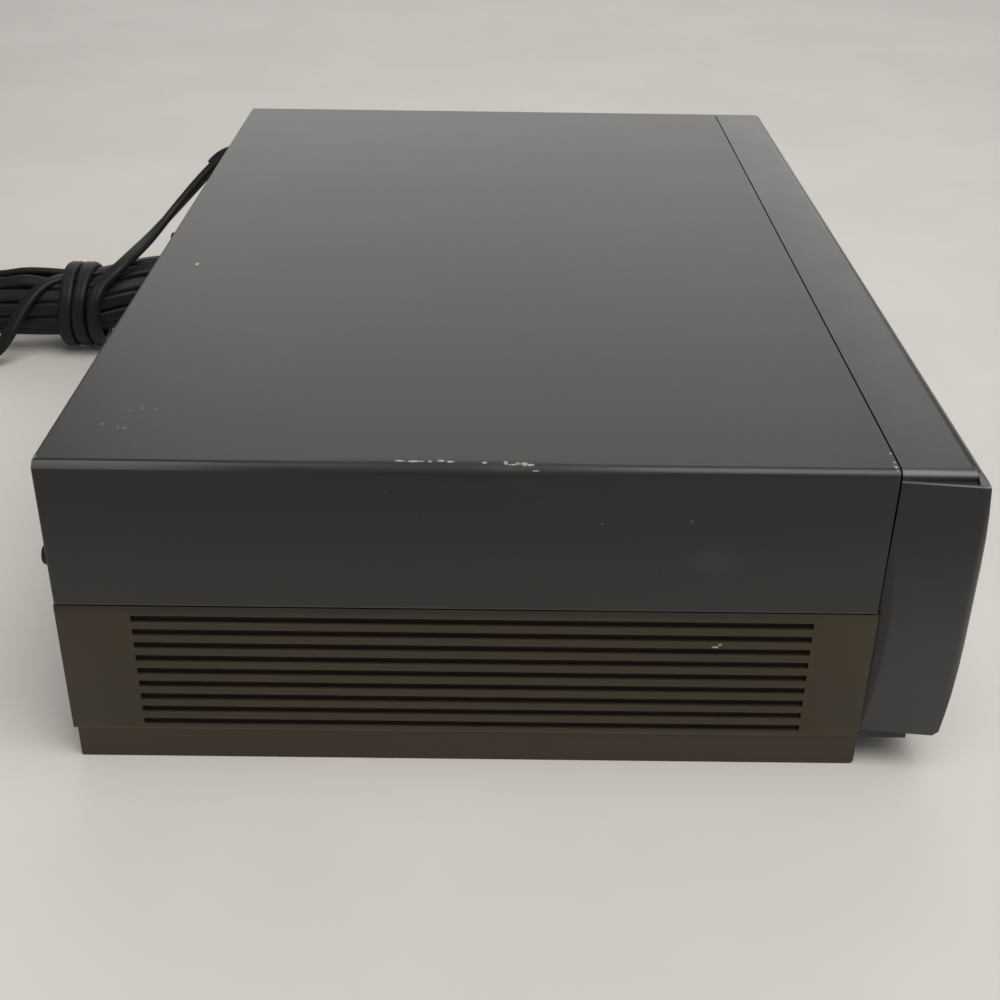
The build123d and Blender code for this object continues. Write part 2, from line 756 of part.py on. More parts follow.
# from the centre of the tape mechanism, y, radius, height
tape_capacitors = [
    (-74.0, -76.0, 4.0, 9.0),
    (-90.0, 30.0, 4.0, 9.0),
]
can_round = 1.0
capacitors = [(side - inset, *sizes) for inset, *sizes in power_capacitors]
capacitors += [(mech_x + x, *sizes) for x, *sizes in tape_capacitors]
with BuildPart() as board_capacitors:
    for x, y, radius, height in capacitors:
        post(x, y, board_top, board_top + height, radius)
    rims = board_capacitors.edges().filter_by(GeomType.CIRCLE).filter_by(
        lambda e: e.center().Z > board_top + 1
    )
    fillet(rims, can_round)
board_capacitors.part.label = "board_capacitors"
export_step(board_capacitors.part, "parts/board_capacitors.step")

transformer_x = side - 54.0
transformer_y = y_rear - 35.9
core_width = 48.0
core_depth = 19.0
core_height = 40.0
winding_depth = 33.0
winding_width = 30.0
winding_height = 25.0
winding_step = 4.0
winding_rise = 6.0
core_foot = 10.0
core_foot_gauge = 2.0
core_chamfer = 0.5
with BuildPart() as transformer:
    with Locations((transformer_x, transformer_y, board_top + core_height / 2)):
        Box(core_width, core_depth, core_height)
        Box(winding_width, winding_depth, winding_height)
        Box(winding_width - winding_step, winding_depth - winding_step, winding_height + winding_rise)
    with Locations((transformer_x, transformer_y, board_top + core_foot_gauge / 2)):
        Box(core_width + 2 * core_foot, core_depth, core_foot_gauge)
    chamfer(transformer.edges().filter_by(Axis.Z), core_chamfer)
transformer.part.label = "transformer"
export_step(transformer.part, "parts/transformer.step")

sink_x = side - 52.0
sink_y = y_rear - 83.9
sink_length = 60.0
sink_height = 34.0
sink_gauge = 3.0
fin_count = 9
fin_gauge = 1.6
fin_depth = 18.0
with BuildPart() as heat_sink:
    with Locations((sink_x, sink_y, board_top + sink_height / 2)):
        Box(sink_length, sink_gauge, sink_height)
        with GridLocations(sink_length / fin_count, 0, fin_count, 1):
            Box(fin_gauge, fin_depth, sink_height)
heat_sink.part.label = "heat_sink"
export_step(heat_sink.part, "parts/heat_sink.step")

fuse_x = side - 20.0
fuse_y = y_rear - 59.9
fuse_length = 20.0
fuse_radius = 2.6
fuse_axis = 6.0
clip_width = 7.0
clip_depth = 4.0
clip_inset = 3.0
with BuildPart() as fuse:
    for s in (-1, 1):
        with Locations((fuse_x, fuse_y + s * (fuse_length / 2 - clip_inset), board_top + clip_width / 2)):
            Box(clip_width, clip_depth, clip_width)
    bar(
        fuse_x, board_top + fuse_axis,
        fuse_y - fuse_length / 2, fuse_y + fuse_length / 2, fuse_radius,
    )
fuse.part.label = "fuse"
export_step(fuse.part, "parts/fuse.step")

ribbon_width = 26.0
ribbon_gauge = 0.8
ribbon_x = window_x + 1.0
ribbon_z = 36.0
ribbon_bend = 6.0
plug_depth = 4.0  # ribbon connectors
plug_side = 6.0
ribbon_drop = board_front + 16.0  # where it turns down to the main board
with BuildPart() as ribbon_cable:
    with Locations((ribbon_x, board_face + board_gauge + plug_depth / 2, ribbon_z)):
        Box(ribbon_width, plug_depth, plug_side)
    with BuildSketch(Plane.YZ.offset(ribbon_x - ribbon_width / 2 + 1)):
        with BuildLine():
            run = FilletPolyline(
                (board_face + board_gauge + plug_depth, ribbon_z),
                (ribbon_drop, ribbon_z),
                (ribbon_drop, board_top + plug_side),
                radius=ribbon_bend,
            )
            offset(run, ribbon_gauge, side=Side.LEFT, closed=True)
        make_face()
    extrude(amount=ribbon_width - 2)
    with Locations((ribbon_x, ribbon_drop, board_top + plug_side / 2)):
        Box(ribbon_width, plug_side, plug_side)
ribbon_cable.part.label = "ribbon_cable"
export_step(ribbon_cable.part, "parts/ribbon_cable.step")

# ---------------------------------------------------------------- deck plate
running = 0.06  # radial clearance of a shaft in its bearing
reel_spacing = 92.0
reel_y = y_front + 75.0
reel_pin = 1.5
reel_height = 24.0
idler_pivot_y = reel_y + 28.0
idler_pin = 2.0
idler_pin_height = 6.0
pulley_pin_length = 9.5
drum_y = 62.0
drum_radius = 31.0
guide_slot = 5.0
guide_start = (33.0, 0.0)
guide_end = (44.0, 66.0)
guide_travel = math.dist(guide_start, guide_end)
guide_angle = math.degrees(math.atan2(guide_end[1] - guide_start[1], guide_end[0] - guide_start[0]))
capstan_x = mech_x + 64.0
capstan_y = 20.0
capstan_radius = 2.5
bearing_radius = 5.5
bearing_height = 2.5
pinch_pivot = (mech_x + 88.0, 31.0)
pinch_pin = 2.0
tension_pivot = (mech_x - 82.0, 22.0)
tension_pin = 2.0
arm_pin_height = 9.0
arm_hub_height = 8.0
arm_hub_radius = 4.0
cam_x = mech_x + 76.0
cam_y = 57.0
cam_pin = 2.5
cam_pin_height = 17.0
reels = {"supply_reel": mech_x - reel_spacing / 2, "takeup_reel": mech_x + reel_spacing / 2}
with BuildPart() as deck_plate:
    slab(mech_x - deck_left, mech_x + deck_right, -deck_front, deck_rear, deck_bottom, deck_top)
    for x in (mech_x - deck_left, mech_x + deck_right - deck_gauge):
        slab(x, x + deck_gauge, -deck_front, deck_rear, deck_bottom - deck_flange, deck_bottom)
    for s in (-1, 1):
        with BuildSketch(Plane.XY.offset(deck_bottom)):
            with Locations(
                (
                    mech_x + s * (guide_start[0] + guide_end[0]) / 2,
                    (guide_start[1] + guide_end[1]) / 2,
                )
            ):
                SlotCenterToCenter(
                    guide_travel, guide_slot + 2 * fit, rotation=90 + s * (guide_angle - 90)
                )
        extrude(amount=deck_gauge, mode=Mode.SUBTRACT)
    post(capstan_x, capstan_y, deck_bottom, deck_top, bearing_radius + fit, Mode.SUBTRACT)
    for x in reels.values():
        post(x, reel_y, deck_top, deck_top + reel_height, reel_pin)
    post(mech_x, idler_pivot_y, deck_top, deck_top + idler_pin_height, idler_pin)
    post(mech_x, idler_pivot_y, deck_bottom - pulley_pin_length, deck_bottom, idler_pin)
    post(*pinch_pivot, deck_top, deck_top + arm_pin_height, pinch_pin)
    post(*tension_pivot, deck_top, deck_top + arm_pin_height, tension_pin)
    post(cam_x, cam_y, deck_top, deck_top + cam_pin_height, cam_pin)
deck_plate.part.label = "deck_plate"
export_step(deck_plate.part, "parts/deck_plate.step")

# ---------------------------------------------------------------- head drum, tilted to the tape
drum_tilt = 5.9
drum_foot = 5.5
drum_split = 21.0
drum_top = 37.0
drum_shaft = 3.0
drum_gap = 0.25  # between the two halves
drum_floor = 3.0
drum_pedestal = 10.0
drum_rim = 4.0
drum_hub = 11.0
drum_dish = 3.0
head_width = 2.4
head_height = 2.0
head_notch = 2.0
drum_plane = Plane(
    origin=(mech_x, drum_y, deck_top),
    x_dir=(0, 1, 0),
    z_dir=(math.sin(math.radians(drum_tilt)), 0, math.cos(math.radians(drum_tilt))),
)
with BuildPart() as lower_drum:
    with BuildSketch(drum_plane.offset(drum_foot)):
        Circle(drum_radius)
    extrude(amount=drum_split - drum_foot)
    post(mech_x, drum_y, deck_top, deck_top + drum_pedestal, drum_radius - drum_rim - 1.0)
    with BuildSketch(drum_plane.offset(drum_foot + drum_floor)):
        Circle(drum_shaft + running)
    extrude(amount=drum_split, mode=Mode.SUBTRACT)
lower_drum.part.label = "lower_drum"
export_step(lower_drum.part, "parts/lower_drum.step")

with BuildPart() as upper_drum:
    with BuildSketch(drum_plane.offset(drum_split + drum_gap)):
        Circle(drum_radius)
    extrude(amount=drum_top - drum_split - drum_gap)
    with BuildSketch(drum_plane.offset(drum_foot + drum_floor + fit)):
        Circle(drum_shaft)
    extrude(amount=drum_top - drum_foot)
    with BuildSketch(drum_plane.offset(drum_top)):
        Circle(drum_radius - drum_rim)
        Circle(drum_hub, mode=Mode.SUBTRACT)
    extrude(amount=-drum_dish, mode=Mode.SUBTRACT)
    with BuildSketch(drum_plane.offset(drum_split + drum_gap)):
        with PolarLocations(drum_radius, 2):
            Rectangle(head_width, head_notch)
    extrude(amount=head_height, mode=Mode.SUBTRACT)
upper_drum.part.label = "upper_drum"
export_step(upper_drum.part, "parts/upper_drum.step")

# ---------------------------------------------------------------- capstan
flywheel_radius = 24.0
flywheel_top = deck_bottom - 4.0
flywheel_gauge = 5.0
stator_radius = 20.0  # clear of the guides' feet
stator_gap = 0.5
capstan_top = deck_top + 32.0
bearing_top = deck_top + bearing_height
with BuildPart() as capstan_motor:
    post(capstan_x, capstan_y, flywheel_top + stator_gap, deck_bottom, stator_radius)
    post(capstan_x, capstan_y, deck_bottom, bearing_top, bearing_radius)
    post(capstan_x, capstan_y, flywheel_top, bearing_top, capstan_radius + running, Mode.SUBTRACT)
capstan_motor.part.label = "capstan_motor"
export_step(capstan_motor.part, "parts/capstan_motor.step")

with BuildPart() as capstan_flywheel:
    post(capstan_x, capstan_y, flywheel_top - flywheel_gauge, flywheel_top, flywheel_radius)
    post(capstan_x, capstan_y, flywheel_top, capstan_top, capstan_radius)
capstan_flywheel.part.label = "capstan_flywheel"
export_step(capstan_flywheel.part, "parts/capstan_flywheel.step")

# ---------------------------------------------------------------- reels and idler
reel_radius = 23.0
disc_low = deck_top + 2.0
disc_gauge = 4.0
reel_foot = 5.0
collar_radius = 11.0
collar_top = deck_top + 8.0
spindle_radius = 4.2
spindle_top = deck_top + 22.0
spline_count = 6
spline_place = 4.6
spline_length = 10.0
for name, x in reels.items():
    with BuildPart() as reel:
        post(x, reel_y, deck_top + fit, disc_low, reel_foot)
        post(x, reel_y, disc_low, disc_low + disc_gauge, reel_radius)
        post(x, reel_y, disc_low + disc_gauge, collar_top, collar_radius)
        post(x, reel_y, collar_top, spindle_top, spindle_radius)
        with Locations((x, reel_y, collar_top + 1.0 + spline_length / 2)):
            with PolarLocations(spline_place, spline_count):
                Box(2.4, 1.2, spline_length)
        post(x, reel_y, deck_top, spindle_top, reel_pin + running, Mode.SUBTRACT)
    reel.part.label = name
    export_step(reel.part, f"parts/{name}.step")

idler_radius = 20.3
idler_y = reel_y + 2.0
idler_arm_width = 6.0
idler_hub_radius = 4.5
idler_hub_top = deck_top + 5.0
idler_hole_place = 11.0
idler_hole_radius = 3.4
idler_hole_count = 5
with BuildPart() as idler_arm:
    slab(
        mech_x - idler_arm_width / 2, mech_x + idler_arm_width / 2,
        idler_y, idler_pivot_y, deck_top + fit, disc_low - fit,
    )
    post(mech_x, idler_pivot_y, deck_top + fit, idler_hub_top, idler_hub_radius)
    post(mech_x, idler_y, deck_top + fit, disc_low - fit, idler_hub_radius)
    post(mech_x, idler_y, disc_low - fit, disc_low + disc_gauge + 1.0, idler_pin)
    post(mech_x, idler_pivot_y, deck_top, idler_hub_top, idler_pin + running, Mode.SUBTRACT)
idler_arm.part.label = "idler_arm"
export_step(idler_arm.part, "parts/idler_arm.step")

with BuildPart() as idler_wheel:
    post(mech_x, idler_y, disc_low, disc_low + disc_gauge, idler_radius)
    post(mech_x, idler_y, disc_low, disc_low + disc_gauge, idler_pin + running, Mode.SUBTRACT)
    with Locations((mech_x, idler_y, disc_low + disc_gauge / 2)):
        with PolarLocations(idler_hole_place, idler_hole_count):
            Cylinder(idler_hole_radius, disc_gauge, mode=Mode.SUBTRACT)
idler_wheel.part.label = "idler_wheel"
export_step(idler_wheel.part, "parts/idler_wheel.step")

# ---------------------------------------------------------------- tape guides
guide_base = 6.0
guide_base_height = 4.0
guide_top = deck_top + 32.0
guide_foot_gauge = 1.0
guide_pin = 1.5
roller_radius = 3.0
roller_gap = 4.0
guide_cap = 3.4
guide_cap_gauge = 3.0
for name, s in (("supply_guide", -1), ("takeup_guide", 1)):
    x = mech_x + s * guide_start[0]
    y = guide_start[1]
    with BuildPart() as guide:
        post(x, y, deck_top, deck_top + guide_base_height, guide_base)
        foot = deck_bottom - fit - guide_foot_gauge
        post(x, y, foot, deck_top, guide_slot / 2)
        post(x, y, foot, deck_bottom - fit, guide_base - 1.0)
        base_top = deck_top + guide_base_height
        cap_bottom = guide_top - guide_cap_gauge
        post(x, y, base_top, guide_top, guide_pin)
        post(x, y, base_top + roller_gap, cap_bottom - guide_cap_gauge, roller_radius)
        post(x, y, cap_bottom, guide_top, guide_cap)
    guide.part.label = name
    export_step(guide.part, f"parts/{name}.step")

# ---------------------------------------------------------------- pinch roller and its arm
pinch_radius = 8.0
pinch_rest = (mech_x + 80.0, 9.5)
arm_low = deck_top + fit
arm_high = deck_top + 3.0
arm_hub_top = deck_top + arm_hub_height
pinch_width = 8.0
roller_top = deck_top + 25.0
roller_pin_top = deck_top + 26.0


def lever(start, end, low, high, width):
    """A flat lever with round ends between two pivots."""
    length = math.dist(start, end)
    angle = math.degrees(math.atan2(end[1] - start[1], end[0] - start[0]))
    with BuildSketch(Plane.XY.offset(low), mode=Mode.PRIVATE) as outline:
        with Locations(((start[0] + end[0]) / 2, (start[1] + end[1]) / 2)):
            SlotCenterToCenter(length, width, rotation=angle)
    extrude(outline.sketch, amount=high - low)


with BuildPart() as pinch_arm:
    lever(pinch_pivot, pinch_rest, arm_low, arm_high, pinch_width)
    post(*pinch_pivot, arm_low, arm_hub_top, arm_hub_radius)
    post(*pinch_rest, arm_high, roller_pin_top, pinch_pin)
    post(*pinch_pivot, arm_low, arm_hub_top, pinch_pin + running, Mode.SUBTRACT)
pinch_arm.part.label = "pinch_arm"
export_step(pinch_arm.part, "parts/pinch_arm.step")

with BuildPart() as pinch_roller:
    post(*pinch_rest, arm_high + fit, roller_top, pinch_radius)
    post(*pinch_rest, arm_high, roller_top, pinch_pin + running, Mode.SUBTRACT)
pinch_roller.part.label = "pinch_roller"
export_step(pinch_roller.part, "parts/pinch_roller.step")

# ---------------------------------------------------------------- tension arm
tension_pole = (mech_x - 64.0, 4.0)
tension_width = 6.0
tension_top = deck_top + 2.0
pole_top = deck_top + 30.0
pole_radius = 1.8
with BuildPart() as tension_arm:
    lever(tension_pivot, tension_pole, arm_low, tension_top, tension_width)
    post(*tension_pivot, arm_low, arm_hub_top, arm_hub_radius)
    post(*tension_pole, tension_top, pole_top, pole_radius)
    post(*tension_pivot, arm_low, arm_hub_top, tension_pin + running, Mode.SUBTRACT)
tension_arm.part.label = "tension_arm"
export_step(tension_arm.part, "parts/tension_arm.step")

# ---------------------------------------------------------------- heads
erase_place = (mech_x - 62.0, 26.0)
audio_place = (mech_x + 57.0, 33.0)
head_foot = (12.0, 9.0, 2.0)
head_stem = 2.6
head_size = (7.0, 7.0, 18.0)
head_middle = deck_top + 18.0
head_corner = 1.6
for name, (x, y) in (("erase_head", erase_place), ("audio_head", audio_place)):
    with BuildPart() as head:
        with Locations((x, y, deck_top + head_foot[2] / 2)):
            Box(*head_foot)
        with Locations((x, y, head_middle)):
            Box(*head_size)
        post(x, y, deck_top + head_foot[2], head_middle - head_size[2] / 2, head_stem)
        upright = head.edges().filter_by(Axis.Z)
        fillet(upright.filter_by(lambda e: abs(e.center().Z - head_middle) < 1), head_corner)
    head.part.label = name
    export_step(head.part, f"parts/{name}.step")

# ---------------------------------------------------------------- cam gear, worm, loading motor
cam_radius = 20.0
cam_teeth = 36
tooth_height = 1.5
cam_low = deck_top + 9.0
cam_gauge = 5.0
cam_hub = 6.0
tooth_width = 1.7
groove_radius = 13.0
groove_width = 3.4
groove_depth = 2.5
groove_start = 30
groove_turn = 220
with BuildPart() as cam_gear:
    post(cam_x, cam_y, cam_low, cam_low + cam_gauge, cam_radius)
    post(cam_x, cam_y, deck_top + fit, cam_low, cam_hub)
    with Locations((cam_x, cam_y, cam_low + cam_gauge / 2)):
        with PolarLocations(cam_radius, cam_teeth):
            Box(2 * tooth_height, tooth_width, cam_gauge)
    with BuildSketch(Plane.XY.offset(cam_low + cam_gauge)):
        with Locations((cam_x, cam_y)):
            SlotArc(CenterArc((0, 0), groove_radius, groove_start, groove_turn), groove_width)
    extrude(amount=-groove_depth, mode=Mode.SUBTRACT)
    post(cam_x, cam_y, deck_top, cam_low + cam_gauge, cam_pin + running, Mode.SUBTRACT)
cam_gear.part.label = "cam_gear"
export_step(cam_gear.part, "parts/cam_gear.step")

worm_radius = 4.0
worm_root = 2.6
worm_x = cam_x + cam_radius + tooth_height + fit + worm_radius
worm_z = cam_low + cam_gauge / 2
worm_front = cam_y - 12.0
worm_rear = cam_y + 16.0
thread_count = 7
worm_end = 2.0  # plain ends of the worm
motor_radius = 11.0
motor_length = 24.0
motor_flat = 9.0
motor_shaft = 1.0
motor_foot = 8.0
motor_front = worm_rear + fit
thread_pitch = (worm_rear - worm_front - 2 * worm_end) / thread_count
with BuildPart() as worm:
    bar(worm_x, worm_z, worm_front, worm_rear, worm_root)
    for k in range(thread_count):
        middle = worm_front + worm_end + (k + 0.5) * thread_pitch
        bar(worm_x, worm_z, middle - thread_pitch / 4, middle + thread_pitch / 4, worm_radius)
    bar(worm_x, worm_z, worm_front, worm_rear, motor_shaft + running, Mode.SUBTRACT)
worm.part.label = "worm"
export_step(worm.part, "parts/worm.step")

with BuildPart() as loading_motor:
    bar(worm_x, worm_z, motor_front, motor_front + motor_length, motor_radius)
    for s in (-1, 1):
        flat_z = worm_z + s * (motor_flat + motor_radius) / 2
        with Locations((worm_x, motor_front + motor_length / 2, flat_z)):
            Box(2 * motor_radius, motor_length, motor_radius - motor_flat, mode=Mode.SUBTRACT)
    bar(worm_x, worm_z, worm_front - 1.0, motor_front, motor_shaft)
    slab(
        worm_x - motor_foot, worm_x + motor_foot, motor_front, motor_front + motor_length,
        deck_top, worm_z - motor_flat,
    )
loading_motor.part.label = "loading_motor"
export_step(loading_motor.part, "parts/loading_motor.step")

# ---------------------------------------------------------------- cassette loader
holder_depth = 55.0
holder_travel = 48.0
holder_front = -deck_front
holder_rear = holder_front + holder_depth
holder_gauge = 1.2
holder_gap = 0.5
holder_room = 0.6
holder_half = cassette_width / 2 + holder_room
slider_half = holder_half + holder_gauge + holder_gap
frame_half = slider_half + holder_gauge + holder_gap
loader_top = cassette_high + cassette_height + holder_gap
ledge = 12.0
ledge_depth = 36.0
loader_pin = 1.5
loader_play = 0.1
holder_pin_z = cassette_high + 6.0
slider_pin_z = cassette_high + 21.0
slider_front = holder_front + 10.0
slider_skirt = 4.0  # slider below the lowered pins
slider_lip = 8.0
holder_pin_y = slider_front + 20.0
slider_pins = (slider_front + 6.0, slider_front + 34.0)
slider_rear = holder_rear + holder_room
frame_front = holder_front
frame_rear = holder_rear + holder_travel + 5.0
frame_foot = 9.0
frame_headroom = 0.8
frame_bridge = 12.0
frame_bridge_inset = 4.0
window_inset_x = 26.0  # opening in the top of the holder
window_inset_y = 14.0
stop_x = 16.0
stop_width = 14.0
stop_height = 10.0
pin_reach = holder_gap + holder_gauge

with BuildPart() as cassette_holder:
    slab(
        mech_x - holder_half - holder_gauge, mech_x + holder_half + holder_gauge,
        holder_front, holder_rear, loader_top, loader_top + plate_gauge,
    )
    slab(
        mech_x - holder_half + window_inset_x, mech_x + holder_half - window_inset_x,
        holder_front + window_inset_y, holder_rear - window_inset_y,
        loader_top, loader_top + plate_gauge, Mode.SUBTRACT,
    )
    for s in (-1, 1):
        with Locations(
            (
                mech_x + s * (holder_half + holder_gauge / 2), (holder_front + holder_rear) / 2,
                (cassette_high - plate_gauge + loader_top) / 2,
            )
        ):
            Box(holder_gauge, holder_depth, loader_top - cassette_high + plate_gauge)
        with Locations(
            (
                mech_x + s * (holder_half - ledge / 2), holder_front + ledge_depth / 2,
                cassette_high - plate_gauge / 2,
            )
        ):
            Box(ledge, ledge_depth, plate_gauge)
        stop_z = loader_top - stop_height / 2
        with Locations((mech_x + s * stop_x, holder_rear - holder_gauge / 2, stop_z)):
            Box(stop_width, holder_gauge, stop_height)
        pin_x = mech_x + s * (holder_half + holder_gauge + pin_reach / 2)
        rod(holder_pin_y, holder_pin_z, pin_x - pin_reach / 2, pin_x + pin_reach / 2, loader_pin)
cassette_holder.part.label = "cassette_holder"
export_step(cassette_holder.part, "parts/cassette_holder.step")

with BuildPart() as holder_slider:
    for s in (-1, 1):
        middle = mech_x + s * (slider_half + holder_gauge / 2)
        slider_low = holder_pin_z - holder_drop - slider_skirt
        with Locations((middle, (slider_front + slider_rear) / 2, (slider_low + loader_top) / 2)):
            Box(holder_gauge, slider_rear - slider_front, loader_top - slider_low)
        room = loader_pin + loader_play
        slab(
            middle - holder_gauge, middle + holder_gauge,
            holder_pin_y - room, holder_pin_y + room,
            holder_pin_z - holder_drop - room, holder_pin_z + room,
            Mode.SUBTRACT,
        )
        pin_x = mech_x + s * (slider_half + holder_gauge + pin_reach / 2)
        for y in slider_pins:
            rod(y, slider_pin_z, pin_x - pin_reach / 2, pin_x + pin_reach / 2, loader_pin)
    slab(
        mech_x - slider_half - holder_gauge, mech_x + slider_half + holder_gauge,
        slider_rear, slider_rear + holder_gauge, loader_top - slider_lip, loader_top,
    )
holder_slider.part.label = "holder_slider"
export_step(holder_slider.part, "parts/holder_slider.step")

with BuildPart() as carriage_frame:
    frame_top = loader_top + plate_gauge + frame_headroom
    for s in (-1, 1):
        middle = mech_x + s * (frame_half + holder_gauge / 2)
        with Locations((middle, (frame_front + frame_rear) / 2, (deck_top + frame_top) / 2)):
            Box(holder_gauge, frame_rear - frame_front, frame_top - deck_top)
        foot_x = mech_x + s * (frame_half + frame_foot / 2)
        with Locations((foot_x, (frame_front + frame_rear) / 2, deck_top + plate_gauge / 2)):
            Box(frame_foot, frame_rear - frame_front, plate_gauge)
        room = loader_pin + loader_play
        slab(
            middle - holder_gauge, middle + holder_gauge,
            slider_pins[0] - room, slider_pins[1] + holder_travel + room,
            slider_pin_z - room, slider_pin_z + room,
            Mode.SUBTRACT,
        )
    slab(
        mech_x - frame_half - holder_gauge, mech_x + frame_half + holder_gauge,
        frame_rear - frame_bridge_inset - frame_bridge, frame_rear - frame_bridge_inset,
        frame_top, frame_top + plate_gauge,
    )
carriage_frame.part.label = "carriage_frame"
export_step(carriage_frame.part, "parts/carriage_frame.step")

# ---------------------------------------------------------------- belt drive under the deck
pulley_radius = 9.0
pulley_pin = 2.0
belt_gauge = 1.2
belt_margin = 1.0
wheel_low = flywheel_top - flywheel_gauge
with BuildPart() as drive_pulley:
    post(mech_x, idler_pivot_y, wheel_low, flywheel_top, pulley_radius)
    for z in (wheel_low, flywheel_top - belt_margin + fit):
        post(mech_x, idler_pivot_y, z, z + belt_margin - fit, pulley_radius + belt_gauge)
    post(mech_x, idler_pivot_y, wheel_low, flywheel_top, pulley_pin + running, Mode.SUBTRACT)
drive_pulley.part.label = "drive_pulley"
export_step(drive_pulley.part, "parts/drive_pulley.step")

with BuildPart() as drive_belt:
    with BuildSketch(Plane.XY.offset(wheel_low + belt_margin)):
        with Locations((capstan_x, capstan_y)):
            Circle(flywheel_radius + fit + belt_gauge)
        with Locations((mech_x, idler_pivot_y)):
            Circle(pulley_radius + fit + belt_gauge)
        make_hull()
    extrude(amount=flywheel_gauge - 2 * belt_margin)
    with BuildSketch(Plane.XY.offset(wheel_low + belt_margin)):
        with Locations((capstan_x, capstan_y)):
            Circle(flywheel_radius + fit)
        with Locations((mech_x, idler_pivot_y)):
            Circle(pulley_radius + fit)
        make_hull()
    extrude(amount=flywheel_gauge - 2 * belt_margin, mode=Mode.SUBTRACT)
drive_belt.part.label = "drive_belt"
export_step(drive_belt.part, "parts/drive_belt.step")

# ---------------------------------------------------------------- mains cord
cord_diameter = 6.2
panel_face = y_rear - cover_gauge
relief_reach = 13.5  # from the panel to the corner of the relief's curve
relief_bend = 17.0
relief_tail = 8.0
relief_root = 4.9
relief_tip = 3.3
relief_hold = 4.0  # collar behind the panel
relief_collar_gauge = 2.5
hank_x = side - 61.0
hank_width = 44.0
hank_height = 41.0
hank_front = y_rear + 23.1
hank_length = 138.0
hank_rear = hank_front + hank_length
hank_corner = 13.0
hank_shoulder = 11.0
hank_foot = 4.0
relief_corner = Vector(cord_exit_x, panel_face + relief_reach, cord_exit_z)
cord_lean = Vector(-5.4, 9.8, -9.6).normalized()
relief_end = relief_corner + cord_lean * relief_tail
with BuildPart() as strain_relief:
    relief_start = panel_face + relief_collar_gauge
    bar(cord_exit_x, cord_exit_z, panel_inside - relief_hold, panel_face, relief_neck)
    bar(cord_exit_x, cord_exit_z, panel_inside - relief_hold, panel_inside, relief_collar)
    bar(cord_exit_x, cord_exit_z, panel_face, relief_start, relief_collar)
    with BuildLine() as relief_path:
        FilletPolyline(
            (cord_exit_x, relief_start, cord_exit_z), relief_corner, relief_end,
            radius=relief_bend,
        )
    with BuildSketch(Plane(origin=relief_path.line @ 0, z_dir=relief_path.line % 0)) as root:
        Circle(relief_root)
    with BuildSketch(Plane(origin=relief_path.line @ 1, z_dir=relief_path.line % 1)) as tip:
        Circle(relief_tip)
    sweep(sections=[root.sketch, tip.sketch], path=relief_path.line, multisection=True)
strain_relief.part.label = "strain_relief"
export_step(strain_relief.part, "parts/strain_relief.step")

# the first run leaves the relief along its tip
cord_route = [
    tuple(relief_end),
    tuple(relief_corner + cord_lean * 2 * relief_tail),
    (hank_x + 32.0, hank_front + 13.9, hank_height + 10.0),
    (hank_x + 17.0, hank_front + 20.7, hank_height + 3.6),
    (hank_x + 3.0, hank_front + 24.4, hank_height + 1.6),
    (hank_x - 10.0, hank_front + 29.4, hank_height - 1.5),
]
corner_radii = []
for before, corner, after in zip(cord_route, cord_route[1:], cord_route[2:]):
    run_in = Vector(corner) - Vector(before)
    run_out = Vector(after) - Vector(corner)
    half_turn = math.radians(run_in.get_angle(run_out) / 2)
    corner_radii.append(0.45 * min(run_in.length, run_out.length) / math.tan(half_turn))
print("cord radii", [round(r, 1) for r in corner_radii])
with BuildPart() as power_cord:
    with BuildLine() as cord_path:
        FilletPolyline(*cord_route, radius=corner_radii)
    with BuildSketch(Plane(origin=cord_path.line @ 0, z_dir=cord_path.line % 0)):
        Circle(cord_diameter / 2)
    sweep(path=cord_path.line)
cord_section = math.pi * cord_diameter**2 / 4
cord_length = cord_path.wires()[0].length
print("cord length", round(cord_length, 1))
print("volume share", round(power_cord.part.volume / (cord_section * cord_length), 4))
power_cord.part.label = "power_cord"
export_step(power_cord.part, "parts/power_cord.step")

with BuildPart() as cord_hank:
    slab(
        hank_x - hank_width / 2, hank_x + hank_width / 2,
        hank_front, hank_rear, 0, hank_height,
    )
    fillet(cord_hank.edges().filter_by(Axis.Z), hank_corner)
    fillet(cord_hank.faces().sort_by(Axis.Z)[-1].edges(), hank_shoulder)
    fillet(cord_hank.faces().sort_by(Axis.Z)[0].edges(), hank_foot)
cord_hank.part.label = "cord_hank"
export_step(cord_hank.part, "parts/cord_hank.step")

plug_x = hank_x - 7.0
plug_z = 9.0
plug_width = 24.0
plug_height = 17.0
plug_length = 22.0
plug_boot = 9.0
plug_front = hank_rear + plug_boot
boot_radius = 4.4
plug_corner = 5.0
blade_length = 17.0
blade_spacing = 12.7
blade_gauge = 1.5
blade_height = 6.3
with BuildPart() as power_plug:
    bar(plug_x, plug_z, hank_rear, plug_front, boot_radius)
    with Locations((plug_x, plug_front + plug_length / 2, plug_z)):
        Box(plug_width, plug_length, plug_height)
    long_edges = power_plug.edges().filter_by(Axis.Y)
    fillet(
        long_edges.filter_by(lambda e: abs(e.center().X - plug_x) > plug_width / 2 - 1), plug_corner
    )
    for s in (-1, 1):
        with Locations(
            (plug_x + s * blade_spacing / 2, plug_front + plug_length + blade_length / 2, plug_z)
        ):
            Box(blade_gauge, blade_length, blade_height)
power_plug.part.label = "power_plug"
export_step(power_plug.part, "parts/power_plug.step")
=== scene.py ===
import json
import math

import bmesh
import bpy
import numpy as np
from mathutils import Matrix, Vector

